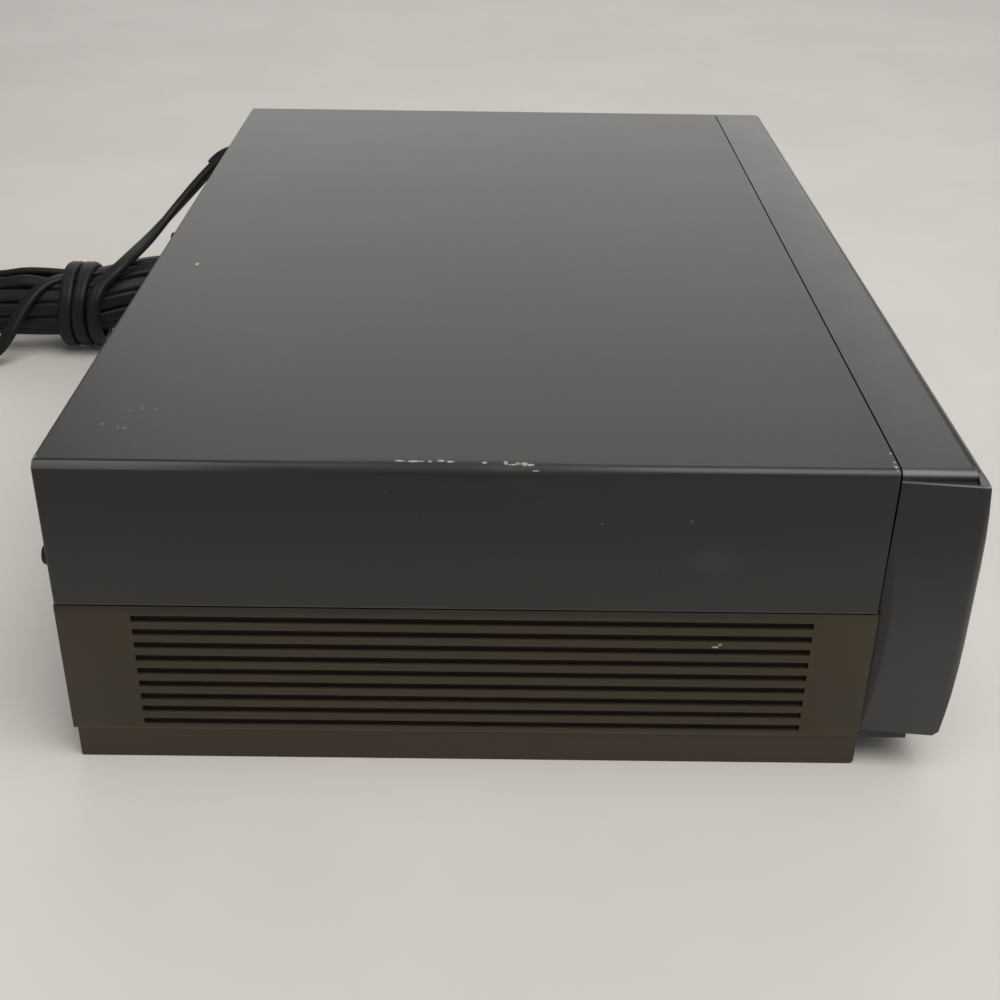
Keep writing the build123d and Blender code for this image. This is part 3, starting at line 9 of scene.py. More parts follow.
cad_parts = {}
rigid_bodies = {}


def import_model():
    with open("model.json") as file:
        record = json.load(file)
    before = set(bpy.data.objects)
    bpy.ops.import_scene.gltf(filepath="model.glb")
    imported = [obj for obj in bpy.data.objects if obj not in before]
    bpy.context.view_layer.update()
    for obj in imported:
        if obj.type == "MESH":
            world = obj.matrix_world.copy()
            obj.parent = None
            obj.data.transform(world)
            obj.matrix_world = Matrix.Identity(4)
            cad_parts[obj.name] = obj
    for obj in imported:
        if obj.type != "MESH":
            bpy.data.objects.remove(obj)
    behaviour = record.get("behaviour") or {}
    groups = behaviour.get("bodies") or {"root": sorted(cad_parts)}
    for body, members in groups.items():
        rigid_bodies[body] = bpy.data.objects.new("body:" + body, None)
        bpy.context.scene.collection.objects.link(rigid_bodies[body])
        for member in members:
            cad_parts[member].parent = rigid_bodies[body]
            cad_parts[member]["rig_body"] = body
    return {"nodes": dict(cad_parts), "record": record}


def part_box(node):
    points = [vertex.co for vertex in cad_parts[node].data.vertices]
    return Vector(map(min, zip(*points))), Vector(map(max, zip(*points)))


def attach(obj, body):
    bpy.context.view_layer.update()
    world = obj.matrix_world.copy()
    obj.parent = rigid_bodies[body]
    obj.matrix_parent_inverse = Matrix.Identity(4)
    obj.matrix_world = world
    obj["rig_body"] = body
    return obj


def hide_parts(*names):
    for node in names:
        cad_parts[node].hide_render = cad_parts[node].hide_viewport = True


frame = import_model()

bl_info = {
    "name": "Video Cassette Recorder",
    "version": (1, 0, 0),
    "blender": (4, 5, 0),
    "location": "3D View > Sidebar > Recorder",
    "description": "Dresses a video cassette recorder in coated steel, plastic and bare metal",
    "category": "Object",
}

MM = 0.001
COVER_LOW, COVER_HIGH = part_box("top_cover")
SIDE, REAR, TOP = COVER_HIGH
SEAM = COVER_LOW.z
BEZEL_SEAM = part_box("front_bezel")[1].y
SKIRT = 10.45 * MM
LOUVRE_PITCH, LOUVRE_COUNT = 4.25 * MM, 9
SLOT_OF = {row["node"]: row["material_slot"] for row in frame["record"]["subparts"]}
BODY_OF = {name: node["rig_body"] for name, node in frame["nodes"].items()}
BUTTONS = [name for name in sorted(frame["nodes"]) if name.endswith("_button")]


# ---- settings
class RecorderCaseSettings(bpy.types.PropertyGroup):
    """Colours and sizes of the case"""

    cover_colour: bpy.props.FloatVectorProperty(
        name="Cover Colour", description="Coated steel of the top cover",
        default=(0.0100, 0.0094, 0.0088), size=3, subtype="COLOR", min=0.0, max=1.0,
    )
    # Paler colour painted low on the cover's sides: painted light, standing in for light thrown up
    # from the floor.
    painted_side_light_colour: bpy.props.FloatVectorProperty(
        name="Dust Colour", description="Dusty film low on the cover's sides",
        default=(0.0195, 0.0175, 0.0160), size=3, subtype="COLOR", min=0.0, max=1.0,
    )
    # Paler colour painted low on the bezel's cheeks: painted light, standing in for light thrown up
    # from the floor.
    painted_cheek_light_colour: bpy.props.FloatVectorProperty(
        name="Film Colour", description="Greyer film low on the bezel's cheeks",
        default=(0.038, 0.038, 0.037), size=3, subtype="COLOR", min=0.0, max=1.0,
    )
    base_colour: bpy.props.FloatVectorProperty(
        name="Base Colour", description="Moulded plastic of the base with the louvres",
        default=(0.0292, 0.0187, 0.0068), size=3, subtype="COLOR", min=0.0, max=1.0,
    )
    bezel_colour: bpy.props.FloatVectorProperty(
        name="Bezel Colour", description="Moulded plastic of the front",
        default=(0.0115, 0.0115, 0.0115), size=3, subtype="COLOR", min=0.0, max=1.0,
    )
    cover_gauge: bpy.props.FloatProperty(
        name="Cover Gauge", description="Thickness of the cover's sheet", default=0.001,
        subtype="DISTANCE",
    )
    cover_bend: bpy.props.FloatProperty(
        name="Cover Bend", description="Outer radius of the cover's long bends", default=0.0024,
        subtype="DISTANCE",
    )
    front_gap: bpy.props.FloatProperty(
        name="Front Gap", description="Gap between the cover and the bezel", default=0.0005,
        subtype="DISTANCE",
    )
    lower_gap: bpy.props.FloatProperty(
        name="Lower Gap", description="Gap between the cover and the base", default=0.00045,
        subtype="DISTANCE",
    )
    rear_flange: bpy.props.FloatProperty(
        name="Rear Flange", description="Width of the cover's turned-in rear edge", default=0.008,
        subtype="DISTANCE",
    )


class RecorderCordSettings(bpy.types.PropertyGroup):
    """Sizes of the mains cord and of its hank"""

    width: bpy.props.FloatProperty(
        name="Width", description="Width of the flat twin flex", default=0.0062, subtype="DISTANCE",
    )
    thickness: bpy.props.FloatProperty(
        name="Thickness", description="Thickness of the flat twin flex", default=0.0038,
        subtype="DISTANCE",
    )
    length: bpy.props.FloatProperty(
        name="Length", description="Length of the cord from the relief to the plug", default=1.8,
        subtype="DISTANCE",
    )
    colour: bpy.props.FloatVectorProperty(
        name="Colour", description="Rubbery sheath of the cord",
        default=(0.0032, 0.0032, 0.0036), size=3, subtype="COLOR", min=0.0, max=1.0,
    )


class RecorderStageSettings(bpy.types.PropertyGroup):
    """Floor and lights"""

    floor_colour: bpy.props.FloatVectorProperty(
        name="Floor Colour", description="Pale floor", default=(0.62, 0.59, 0.55), size=3,
        subtype="COLOR", min=0.0, max=1.0,
    )
    overhead: bpy.props.FloatProperty(
        name="Overhead Power", description="Power of the soft lamp overhead", default=22.0,
        subtype="POWER",
    )
    fill: bpy.props.FloatProperty(
        name="Far Power", description="Power of the soft lamp beyond the case", default=15.5,
        subtype="POWER",
    )
    room: bpy.props.FloatProperty(
        name="Room Light", description="Strength of the pale room around the stage", default=0.30,
    )
    room_colour: bpy.props.FloatVectorProperty(
        name="Room Colour", description="Pale room", default=(0.98, 0.99, 1.0), size=3,
        subtype="COLOR", min=0.0, max=1.0,
    )


# ---- shader kit
class Level:
    """A number that varies over a surface, which Python arithmetic extends with Math nodes."""

    def __init__(self, finish, socket):
        self.finish = finish
        self.socket = socket

    def math(self, operation, *values):
        settings = {"operation": operation}
        return self.finish.level("ShaderNodeMath", settings, dict(enumerate(values)))

    def __add__(self, other):
        return self.math("ADD", self, other)

    def __radd__(self, other):
        return self.math("ADD", other, self)

    def __sub__(self, other):
        return self.math("SUBTRACT", self, other)

    def __rsub__(self, other):
        return self.math("SUBTRACT", other, self)

    def __mul__(self, other):
        return self.math("MULTIPLY", self, other)

    def __rmul__(self, other):
        return self.math("MULTIPLY", other, self)

    def __truediv__(self, other):
        return self.math("DIVIDE", self, other)

    def __rtruediv__(self, other):
        return self.math("DIVIDE", other, self)

    def __pow__(self, other):
        return self.math("POWER", self, other)

    def __abs__(self):
        return self.math("ABSOLUTE", self)

    def __gt__(self, other):
        return self.math("GREATER_THAN", self, other)

    def __lt__(self, other):
        return self.math("LESS_THAN", self, other)

    def ramp(self, low, high):
        """0 below low and 1 above high, eased between them; falls where low is above high."""
        node = self.finish.node(
            "ShaderNodeMapRange", {"interpolation_type": "SMOOTHSTEP", "clamp": True},
            {"Value": self, "From Min": low, "From Max": high},
        )
        return Level(self.finish, node.outputs["Result"])

    def most(self, other):
        return self.math("MAXIMUM", self, other)


MIX_SHARE, MIX_FIRST, MIX_SECOND, MIX_COLOUR = 0, 6, 7, 2


class Finish:
    """A material whose nodes are added one call at a time."""

    def __init__(self, name):
        self.material = bpy.data.materials.new(name)
        self.material.use_nodes = True
        self.tree = self.material.node_tree
        self.tree.nodes.clear()
        self.output = self.node("ShaderNodeOutputMaterial")
        self.object_place = self.node("ShaderNodeTexCoord").outputs["Object"]
        axes = self.node("ShaderNodeSeparateXYZ", {}, {"Vector": self.object_place})
        self.x, self.y, self.z = (Level(self, socket) for socket in axes.outputs)

    def node(self, kind, settings=None, sockets=None):
        """Adds a node: its settings are set first, then the values or links of its sockets."""
        node = self.tree.nodes.new(kind)
        for name, value in (settings or {}).items():
            setattr(node, name, value)
        for key, value in (sockets or {}).items():
            self.set(node.inputs[key], value)
        return node

    def set(self, socket, value):
        if isinstance(value, Level):
            value = value.socket
        if isinstance(value, bpy.types.NodeSocket):
            self.tree.links.new(value, socket)
        elif isinstance(value, (tuple, list, Vector)) and socket.type == "RGBA" and len(value) == 3:
            socket.default_value = (*value, 1.0)
        else:
            socket.default_value = value

    def level(self, kind, settings, sockets):
        return Level(self, self.node(kind, settings, sockets).outputs[0])

    def vector(self, operation, *values):
        """The node of a vector operation."""
        settings = {"operation": operation}
        return self.node("ShaderNodeVectorMath", settings, dict(enumerate(values)))

    def stretched(self, scale):
        """Object coordinates, scaled along each axis."""
        sockets = {"Vector": self.object_place, "Scale": scale}
        return self.node("ShaderNodeMapping", {}, sockets).outputs[0]

    def noise(self, scale, detail=2.0, roughness=0.5, vector=None):
        sockets = {
            "Vector": vector or self.object_place, "Scale": scale, "Detail": detail,
            "Roughness": roughness,
        }
        return self.level("ShaderNodeTexNoise", {}, sockets)

    def cells(self, scale, vector=None, feature="F1", randomness=1.0):
        sockets = {"Vector": vector or self.object_place, "Scale": scale, "Randomness": randomness}
        return self.level("ShaderNodeTexVoronoi", {"feature": feature}, sockets)

    def spot(self, place, reach, ragged=0.5, grain=1100.0, soft=0.3):
        """1 inside an ellipsoid and 0 outside it, with a ragged rim; lengths in millimetres."""
        away = self.vector("SUBTRACT", self.object_place, Vector(place) * MM).outputs[0]
        away = self.vector("DIVIDE", away, Vector(reach) * MM).outputs[0]
        size = Level(self, self.vector("LENGTH", away).outputs["Value"])
        return (size + (self.noise(grain, 2.0, 0.6) - 0.5) * ragged).ramp(1.0, 1.0 - soft)

    def spots(self, places, **settings):
        """The most of several spots."""
        shares = [self.spot(place, reach, **settings) for place, reach in places]
        most = shares[0]
        for share in shares[1:]:
            most = most.most(share)
        return most

    def mix(self, share, first, second):
        """The first colour where share is 0 and the second where it is 1."""
        sockets = {MIX_SHARE: share, MIX_FIRST: first, MIX_SECOND: second}
        return self.node("ShaderNodeMix", {"data_type": "RGBA"}, sockets).outputs[MIX_COLOUR]

    def layered(self, body, *layers):
        """A colour with others laid over it in turn, each by its share."""
        for share, colour in layers:
            body = self.mix(share, body, colour)
        return body

    def bump(self, height, distance, strength):
        sockets = {"Height": height, "Distance": distance, "Strength": strength}
        return self.node("ShaderNodeBump", {}, sockets).outputs[0]

    def shade(self, **sockets):
        """The finish's shader, its sockets named with underscores for spaces."""
        named = {name.replace("_", " "): value for name, value in sockets.items()}
        shader = self.node("ShaderNodeBsdfPrincipled", {}, named)
        self.tree.links.new(shader.outputs[0], self.output.inputs["Surface"])
        return self.material


def tone(colour, factor):
    """A colour, lighter or darker."""
    return tuple(min(1.0, c * factor) for c in colour[:3])


# ---- finishes
CHIPS = [
    ((-177.2, 25.5, 94.0), (0.55, 1.6, 0.7)), ((-177.3, 21.7, 94.0), (0.60, 2.6, 0.7)),
    ((-177.3, 17.9, 94.0), (0.65, 0.6, 0.7)), ((-176.9, 15.1, 94.0), (0.65, 1.1, 0.7)),
    ((-177.3, 12.6, 94.0), (0.60, 1.1, 0.7)), ((-177.6, 4.2, 93.9), (0.65, 0.8, 0.7)),
    ((-177.6, -1.2, 93.9), (1.0, 0.6, 0.8)), ((-178.3, -3.0, 93.8), (0.3, 1.6, 0.4)),
    ((-177.9, -6.0, 93.9), (1.0, 1.0, 0.7)), ((-178.3, -7.6, 93.8), (0.5, 1.0, 0.4)),
    ((-179.8, -8.8, 92.9), (0.6, 1.3, 0.20)),
    ((-169.9, -99.8, 94.0), (0.45, 0.35, 0.6)), ((-174.6, -99.7, 94.0), (0.45, 0.35, 0.6)),
    ((-177.2, -99.4, 94.0), (0.75, 0.6, 0.7)), ((-178.6, -99.6, 93.6), (0.5, 0.4, 0.5)),
]
CORNER_CHIPS = [
    ((-177.2, 117.3, 94.0), (1.3, 0.7, 0.9)), ((-179.2, 117.5, 93.1), (0.8, 0.6, 1.2)),
    ((-177.9, -4.3, 94.0), (0.7, 1.0, 0.5)),
]
SPECKS = [
    ((-158.4, 104.9, 94.0), (1.0, 0.6, 0.5)), ((-160.5, 100.3, 94.0), (0.8, 0.6, 0.5)),
    ((-160.7, 98.5, 94.0), (0.7, 0.9, 0.5)), ((-155.5, 100.3, 94.0), (0.4, 0.6, 0.5)),
    ((-150.1, 99.5, 94.0), (0.4, 0.7, 0.5)), ((-147.2, 97.2, 94.0), (0.6, 0.5, 0.5)),
    ((-148.8, 96.3, 94.0), (0.9, 0.5, 0.5)), ((-148.9, 93.0, 94.0), (0.6, 0.5, 0.5)),
    ((-180.0, -49.0, 79.0), (0.5, 0.5, 0.4)), ((-180.0, -26.0, 78.0), (0.5, 0.4, 0.4)),
]
PRIMER, PALE_PRIMER = (0.17, 0.165, 0.16), (0.40, 0.39, 0.37)
RUST, PALE_RUST = (0.085, 0.08, 0.055), (0.26, 0.25, 0.19)


def coated_steel():
    """Dark satin coated sheet: fine grain, smudges and specks, chipped at the bend, with a painted
    highlight on the bend towards the rear, painted light low on the sides, painted shade high on
    them and a painted highlight along the lower cut edge.
    """
    case = bpy.context.scene.recorder_case
    colour = tuple(case.cover_colour)
    steel = Finish("coated_steel")
    pebble = steel.noise(1700.0, 2.0, 0.5)
    cloud = steel.noise(9.0, 4.0, 0.55)
    smudge = steel.noise(38.0, 3.0, 0.6, vector=steel.stretched((1.0, 1.0, 2.2)))
    dust = (steel.cells(260.0) < 0.035) * (steel.noise(60.0, 1.0) > 0.58)
    wall = abs(steel.x) > SIDE - 1.5 * MM
    # Painted light: the cover's sides are made paler towards the bottom.
    low = steel.z.ramp(TOP - 8 * MM, SEAM) * wall
    # Painted shade: the upper part of the cover's sides is darkened.
    high = steel.z.ramp(SEAM + 12 * MM, TOP - 8 * MM) * wall * (steel.z < TOP - 2 * MM)
    bend = steel.z.ramp(TOP - 2.4 * MM, TOP - 1.6 * MM) * (steel.z < TOP - 0.25 * MM)
    bend = bend * (abs(steel.x) > SIDE - 3 * MM)
    # Painted highlight: the long bends are painted paler towards the rear, where the lamp's
    # reflection lies.
    painted_bend_highlight = bend * steel.y.ramp(50 * MM, 100 * MM)
    wiped = steel.spot((-180.0, -56.0, 67.0), (3.0, 9.0, 6.0), soft=0.9)
    dent = steel.spot((-179.6, -1.0, 93.4), (2.2, 9.5, 1.2), soft=0.8)
    dull = steel.spot((-179.4, 14.0, 93.0), (4.0, 62.0, 4.0), ragged=0.2, soft=0.8)
    fleck = steel.spot((-35.8, 103.2, 94.0), (1.5, 0.8, 0.6), soft=0.6)
    specks = steel.spots(SPECKS, grain=1600.0, soft=0.7)
    chipped = steel.spots(CHIPS, ragged=0.9)
    rusty = steel.spots(CORNER_CHIPS, ragged=0.9)
    # Painted highlight: a pale line along the cover's lower cut edge, where the edge catches the
    # light.
    cut_edge = steel.z < SEAM + case.lower_gap + 0.28 * MM
    body = steel.layered(
        steel.mix(cloud.ramp(0.3, 0.7), tone(colour, 0.92), tone(colour, 1.08)),
        (low * 0.85, tuple(case.painted_side_light_colour)),
        (high * 0.8, tone(colour, 0.3)),
        (smudge.ramp(0.52, 0.8) * 0.14, tone(colour, 2.0)),
        (pebble.ramp(0.35, 0.7) * 0.2, tone(colour, 0.62)),
        (wiped * 0.35, (0.030, 0.036, 0.040)),
        (dent * 0.5, (0.035, 0.034, 0.032)),
        (painted_bend_highlight * 0.9, (0.085, 0.086, 0.086)),
        (dust * 0.4, (0.22, 0.20, 0.17)),
        (specks * 0.30, (0.34, 0.33, 0.31)),
        (fleck, (0.42, 0.38, 0.22)),
        (chipped, steel.mix(pebble.ramp(0.3, 0.7), PRIMER, PALE_PRIMER)),
        (rusty, steel.mix(pebble.ramp(0.3, 0.7), RUST, PALE_RUST)),
        (cut_edge * 0.5, (0.075, 0.066, 0.055)),
    )
    rough = 0.335 + cloud * 0.05 + pebble * 0.05 + low * 0.04 + chipped * 0.2 + dull * 0.3
    height = pebble * 0.03 - chipped.most(rusty)
    return steel.shade(Base_Color=body, Roughness=rough, Normal=steel.bump(height, 0.0006, 0.5))


def moulded(name, colour, roughness, dress=None, depth=0.00005, streak=0.12):
    """Moulded plastic with a spark-eroded grain, faint flow streaks and handling marks."""
    plastic = Finish(name)
    pebble = plastic.noise(1900.0, 2.0, 0.6)
    flow = plastic.noise(14.0, 3.0, 0.55, vector=plastic.stretched((1.0, 0.35, 2.0)))
    marks = plastic.noise(70.0, 3.0, 0.65)
    speck = (plastic.cells(330.0) < 0.03) * (plastic.noise(75.0, 1.0) > 0.57)
    body = plastic.layered(
        plastic.mix(flow.ramp(0.3, 0.7), tone(colour, 1.0 - streak), tone(colour, 1.0 + streak)),
        (marks.ramp(0.55, 0.8) * 0.10, tone(colour, 1.8)),
        (pebble.ramp(0.4, 0.7) * 0.2, tone(colour, 0.65)),
        (speck * 0.4, tone(colour, 4.5)),
    )
    rough = roughness - 0.03 + marks * 0.08 + pebble * 0.05
    metal = 0.0
    if dress is not None:
        body, rough, metal = dress(plastic, body, rough)
    normal = plastic.bump(pebble, depth, 0.5)
    return plastic.shade(Base_Color=body, Roughness=rough, Metallic=metal, Normal=normal)


def shifted(colour, red, green, blue):
    """A colour with each of its parts scaled."""
    return colour[0] * red, colour[1] * green, colour[2] * blue


# Heights of the band under the cover's lower edge that is painted darker as shade.
STRIP_LOW, STRIP_HIGH = 48.6 * MM, 50.0 * MM


def dress_base(plastic, body, rough):
    """Blotches, two scuffs and a grey tongue; painted highlights along the ledge and the top edge;
    painted shade inside the louvres and under the cover's lower edge.
    """
    case = bpy.context.scene.recorder_case
    colour = tuple(case.base_colour)
    depth = SIDE - abs(plastic.x)
    blotch = plastic.noise(22.0, 3.0, 0.6).ramp(0.45, 0.62)
    skirt = plastic.z < SKIRT - 0.1 * MM
    # Painted highlights: pale lines along the ledge over the skirt and along the top edge under the
    # seam, where the edges catch the light.
    ledge = (abs(plastic.z - SKIRT) < 0.40 * MM) * (depth < 0.5 * MM)
    painted_ledge_highlight = ledge.most((plastic.z > SEAM - 0.35 * MM) * (depth < 0.6 * MM) * 0.7)
    scuff = plastic.spot((-180.0, -58.3, 40.1), (0.8, 1.1, 0.35), ragged=0.6)
    nick = plastic.spot((-180.0, -59.5, 40.9), (0.8, 0.6, 0.45), ragged=0.6)
    # Painted shade: the inner faces behind the louvres are painted near-black, as shade in the
    # slots.
    inside = (depth > 1.0 * MM) * (depth < 12 * MM) * (plastic.z > SKIRT + 0.6 * MM)
    inside = inside * (plastic.y > BEZEL_SEAM + 6 * MM) * (plastic.y < REAR - 6 * MM)
    # Painted shade: the band just under the cover's lower edge is darkened, as shade under the
    # cover.
    strip = plastic.z.ramp(STRIP_LOW, STRIP_HIGH) * (depth < 0.8 * MM)
    body = plastic.layered(
        body,
        (blotch * 0.55, shifted(colour, 0.92, 1.04, 0.72)),
        (skirt * 0.6, shifted(colour, 1.12, 0.92, 0.86)),
        (painted_ledge_highlight * 0.6, tone(colour, 2.9)),
        (scuff, (0.36, 0.34, 0.30)),
        (nick, (0.26, 0.24, 0.21)),
        (inside, (0.0062, 0.0036, 0.0020)),
        (strip * 0.85, tone(colour, 0.25)),
        (plastic.y.ramp(-60 * MM, -92 * MM) * 0.6, shifted(colour, 1.02, 1.10, 0.74)),
        (plastic.y < BEZEL_SEAM - 0.2 * MM, tuple(case.bezel_colour)),
    )
    return body, rough + inside * 0.3, 0.0


# Circle whose inside marks the hollow by the seam that is painted darker as shade.
SCOOP_Y, SCOOP_Z, SCOOP_RADIUS = 69.6 * MM, 45.35 * MM, 173.5 * MM
FRONT_FACE, GROOVE_Y, CHEEK_TOP = -120.3 * MM, -120.05 * MM, 91.20 * MM


def dress_bezel(plastic, body, rough):
    """Painted shade in the hollow by the seam, in the groove, on the upper cheeks and on the rim's
    ends; painted light low on the cheeks; painted highlights on the rim, the rounded top edge and
    the cheeks' top edges; and a worn corner.
    """
    case = bpy.context.scene.recorder_case
    colour = tuple(case.bezel_colour)
    across = abs(plastic.x)
    cheek = across > SIDE - 3 * MM
    away = ((plastic.y - SCOOP_Y) ** 2 + (plastic.z - SCOOP_Z) ** 2) ** 0.5
    # Painted shade: the crescent hollow by the seam is painted darker, as shade in it.
    scoop = away.ramp(SCOOP_RADIUS + 0.4 * MM, SCOOP_RADIUS - 0.4 * MM) * cheek
    # Painted light: the cheeks are made paler towards the bottom, varied by a blotchy noise.
    low = plastic.z.ramp(80 * MM, 22 * MM) * cheek
    film = plastic.noise(120.0, 3.0, 0.7)
    front = plastic.y < FRONT_FACE
    # Painted shade: a dark line where the groove along the top front lies.
    groove = (abs(plastic.y - GROOVE_Y) < 0.28 * MM) * (plastic.z > 90 * MM)
    # Painted highlight: the rim along the top front edge is painted paler, where it catches the
    # light.
    rim = front * plastic.z.ramp(89.5 * MM, 91.5 * MM) * (across < SIDE - 1.2 * MM)
    rim = rim * (0.88 + film * 0.2)
    # Painted shade: the rim's sloped ends at the sides are darkened.
    shoulder = front * (across > SIDE - 1.2 * MM) * (plastic.z > 91.6 * MM)
    # Painted highlight: the rounded top edge of the strip is painted paler, where it catches the
    # light.
    arc = plastic.z.ramp(92.2 * MM, 93.1 * MM) * (plastic.z < 93.93 * MM)
    arc = arc * (across > SIDE - 3.5 * MM) * (plastic.y > -119.7 * MM)
    # Painted highlight: a pale line along the cheek's top edge, stronger towards the front.
    edge = (abs(plastic.z - CHEEK_TOP) < 0.26 * MM) * (across > SIDE - 0.1 * MM)
    edge = edge * (plastic.y > -123.5 * MM)
    near_seam = plastic.y.ramp(-98 * MM, -119 * MM)
    corner = plastic.spot((-182.2, -122.8, 91.3), (0.7, 1.6, 0.35), ragged=0.8)
    body = plastic.layered(
        body,
        (low * (0.75 + film * 0.3), tuple(case.painted_cheek_light_colour)),
        # Painted shade: the upper part of the cheeks is darkened.
        (plastic.z.ramp(55 * MM, 85 * MM) * cheek * 0.8, tone(colour, 0.3)),
        (scoop * 0.75, tone(colour, 0.35)),
        (rim * 0.9, (0.085, 0.088, 0.082)),
        (shoulder * 0.7, tone(colour, 0.3)),
        (groove * 0.9, tone(colour, 0.25)),
        (arc * 0.9, (0.095, 0.095, 0.095)),
        (edge * (0.55 + near_seam * 0.45), (0.20, 0.20, 0.195)),
        (corner * 0.8, (0.30, 0.29, 0.27)),
    )
    return body, rough + low * 0.06, 0.0


LEFT, RIGHT, DOWN, UP = (-1, 0), (1, 0), (0, -1), (0, 1)
MARKS = [
    ("triangle", (86.8, 46.0), LEFT), ("triangle", (83.6, 46.0), LEFT),
    ("triangle", (116.6, 46.0), RIGHT), ("triangle", (146.8, 46.0), RIGHT),
    ("triangle", (150.0, 46.0), RIGHT), ("square", (86.0, 31.0), 1.6),
    ("disc", (118.0, 31.0), 1.7), ("triangle", (142.5, 32.4), DOWN),
    ("triangle", (157.5, 29.6), UP), ("triangle", (-166.0, 51.6), UP),
    ("bar", (-166.0, 50.2), 0.35), ("ring", (-166.0, 74.0), 2.2),
]
BUTTON_FACES = -121.0 * MM


def mark(kind, shape, across, up):
    """1 on a printed mark, where across and up are millimetres from its middle."""
    if kind == "triangle":
        along = across * shape[0] if shape[0] else up * shape[1]
        aside = abs(up if shape[0] else across)
        return (along > 0.0) * (aside < (3.0 - along) * 0.6)
    if kind == "square":
        return (abs(across) < shape) * (abs(up) < shape)
    if kind == "bar":
        return (abs(across) < 1.8) * (abs(up) < shape)
    away = (across ** 2 + up ** 2) ** 0.5
    if kind == "disc":
        return away < shape
    stroke = (abs(across) < 0.25) * (up > 0.6) * (up < 2.9)
    return ((away < shape) * (away > shape - 0.5)).most(stroke)


def dress_buttons(plastic, body, rough):
    """Plain marks printed on the buttons, which tell their work without words."""
    printed = None
    for kind, (x, z), shape in MARKS:
        share = mark(kind, shape, plastic.x / MM - x, plastic.z / MM - z)
        printed = share if printed is None else printed.most(share)
    printed = printed * (plastic.y < BUTTON_FACES)
    worn = plastic.noise(500.0, 3.0, 0.6).ramp(0.25, 0.45)
    body = plastic.mix(printed * (0.75 + worn * 0.25), body, (0.52, 0.52, 0.50))
    return body, rough + printed * 0.08, 0.0


BLADE_LENGTH = 16.8 * MM


def dress_plug(plastic, body, rough):
    """Nickel-plated blades at the end of the moulded plug."""
    blades = plastic.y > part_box("power_plug")[1].y - BLADE_LENGTH
    tarnish = plastic.noise(400.0, 3.0, 0.6)
    plated = plastic.mix(tarnish.ramp(0.4, 0.75) * 0.5, (0.60, 0.57, 0.50), (0.36, 0.33, 0.28))
    return plastic.mix(blades, body, plated), rough - blades * 0.18, blades


SOCKET_XS = [(-76.0 + 15.0 * k) * MM for k in range(3)]
SOCKET_ZS = [28.0 * MM, 43.0 * MM]
YELLOW, WHITE, RED = (0.62, 0.42, 0.02), (0.66, 0.65, 0.61), (0.42, 0.02, 0.015)


def dress_sockets(plastic, body, rough):
    """Plated sleeves with a yellow, a white and a red collar, in two rows."""
    sleeves = plastic.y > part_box("rear_panel")[1].y + 0.05 * MM
    body = plastic.mix(sleeves, body, (0.58, 0.57, 0.55))
    for x, collar in zip(SOCKET_XS, (YELLOW, WHITE, RED)):
        for z in SOCKET_ZS:
            away = ((plastic.x - x) ** 2 + (plastic.z - z) ** 2) ** 0.5
            ring = (away < 3.2 * MM) * (away > 1.65 * MM) * sleeves
            body = plastic.mix(ring, body, collar)
            sleeves = sleeves - ring
    return body, rough - sleeves * 0.15, sleeves


def bare_metal(name, colour, roughness, brushed=(1.0, 1.0, 1.0), spangle=0.0):
    """Bare or plated metal with brush lines, tarnish and, where zinc coated, a spangle."""
    metal = Finish(name)
    lines = metal.noise(900.0, 2.0, 0.6, vector=metal.stretched(brushed))
    tarnish = metal.noise(45.0, 4.0, 0.6)
    body = metal.mix(tarnish.ramp(0.35, 0.75) * 0.5, colour, tone(colour, 0.72))
    rough = roughness - 0.05 + lines * 0.1 + tarnish * 0.08
    if spangle:
        flakes = metal.cells(90.0)
        body = metal.mix(flakes.ramp(0.1, 0.7) * spangle, body, tone(colour, 0.6))
        rough = rough + flakes * 0.12
    normal = metal.bump(lines, 0.00003, 0.4)
    return metal.shade(Base_Color=body, Metallic=1.0, Roughness=rough, Normal=normal)


def circuit_board():
    """Printed board: green solder mask over copper tracks, with round solder pads."""
    board = Finish("circuit_board")
    wide = board.stretched((1.0, 1.6, 1.0))
    between = board.cells(120.0, feature="DISTANCE_TO_EDGE", vector=wide).ramp(0.05, 0.09)
    pads = board.cells(300.0, randomness=0.35).ramp(0.16, 0.12)
    body = board.mix(between, (0.03, 0.12, 0.05), (0.012, 0.055, 0.020))
    body = board.mix(pads, body, (0.42, 0.40, 0.36))
    rough = 0.32 + board.noise(60.0, 3.0) * 0.15 - pads * 0.08
    normal = board.bump(pads + (1.0 - between) * 0.3, 0.00008, 0.6)
    return board.shade(Base_Color=body, Roughness=rough, Metallic=pads * 0.8, Normal=normal)


def smoked_window():
    """Dark glossy window plastic with fine wipe marks."""
    window = Finish("smoked_window")
    wipe = window.noise(260.0, 3.0, 0.6, vector=window.stretched((0.25, 1.0, 2.0)))
    body = window.mix(wipe.ramp(0.5, 0.8) * 0.3, (0.006, 0.006, 0.007), (0.014, 0.013, 0.013))
    return window.shade(Base_Color=body, Roughness=0.07 + wipe * 0.08, Coat_Weight=0.3)


def rubber():
    """Soft black rubber with a dusty matt skin."""
    skin = Finish("rubber")
    grain = skin.noise(1200.0, 3.0, 0.6)
    dust = skin.noise(90.0, 3.0)
    body = skin.mix(dust.ramp(0.4, 0.8) * 0.4, (0.012, 0.012, 0.012), (0.035, 0.033, 0.03))
    normal = skin.bump(grain, 0.00006, 0.5)
    return skin.shade(Base_Color=body, Roughness=0.62 + grain * 0.15, Normal=normal)


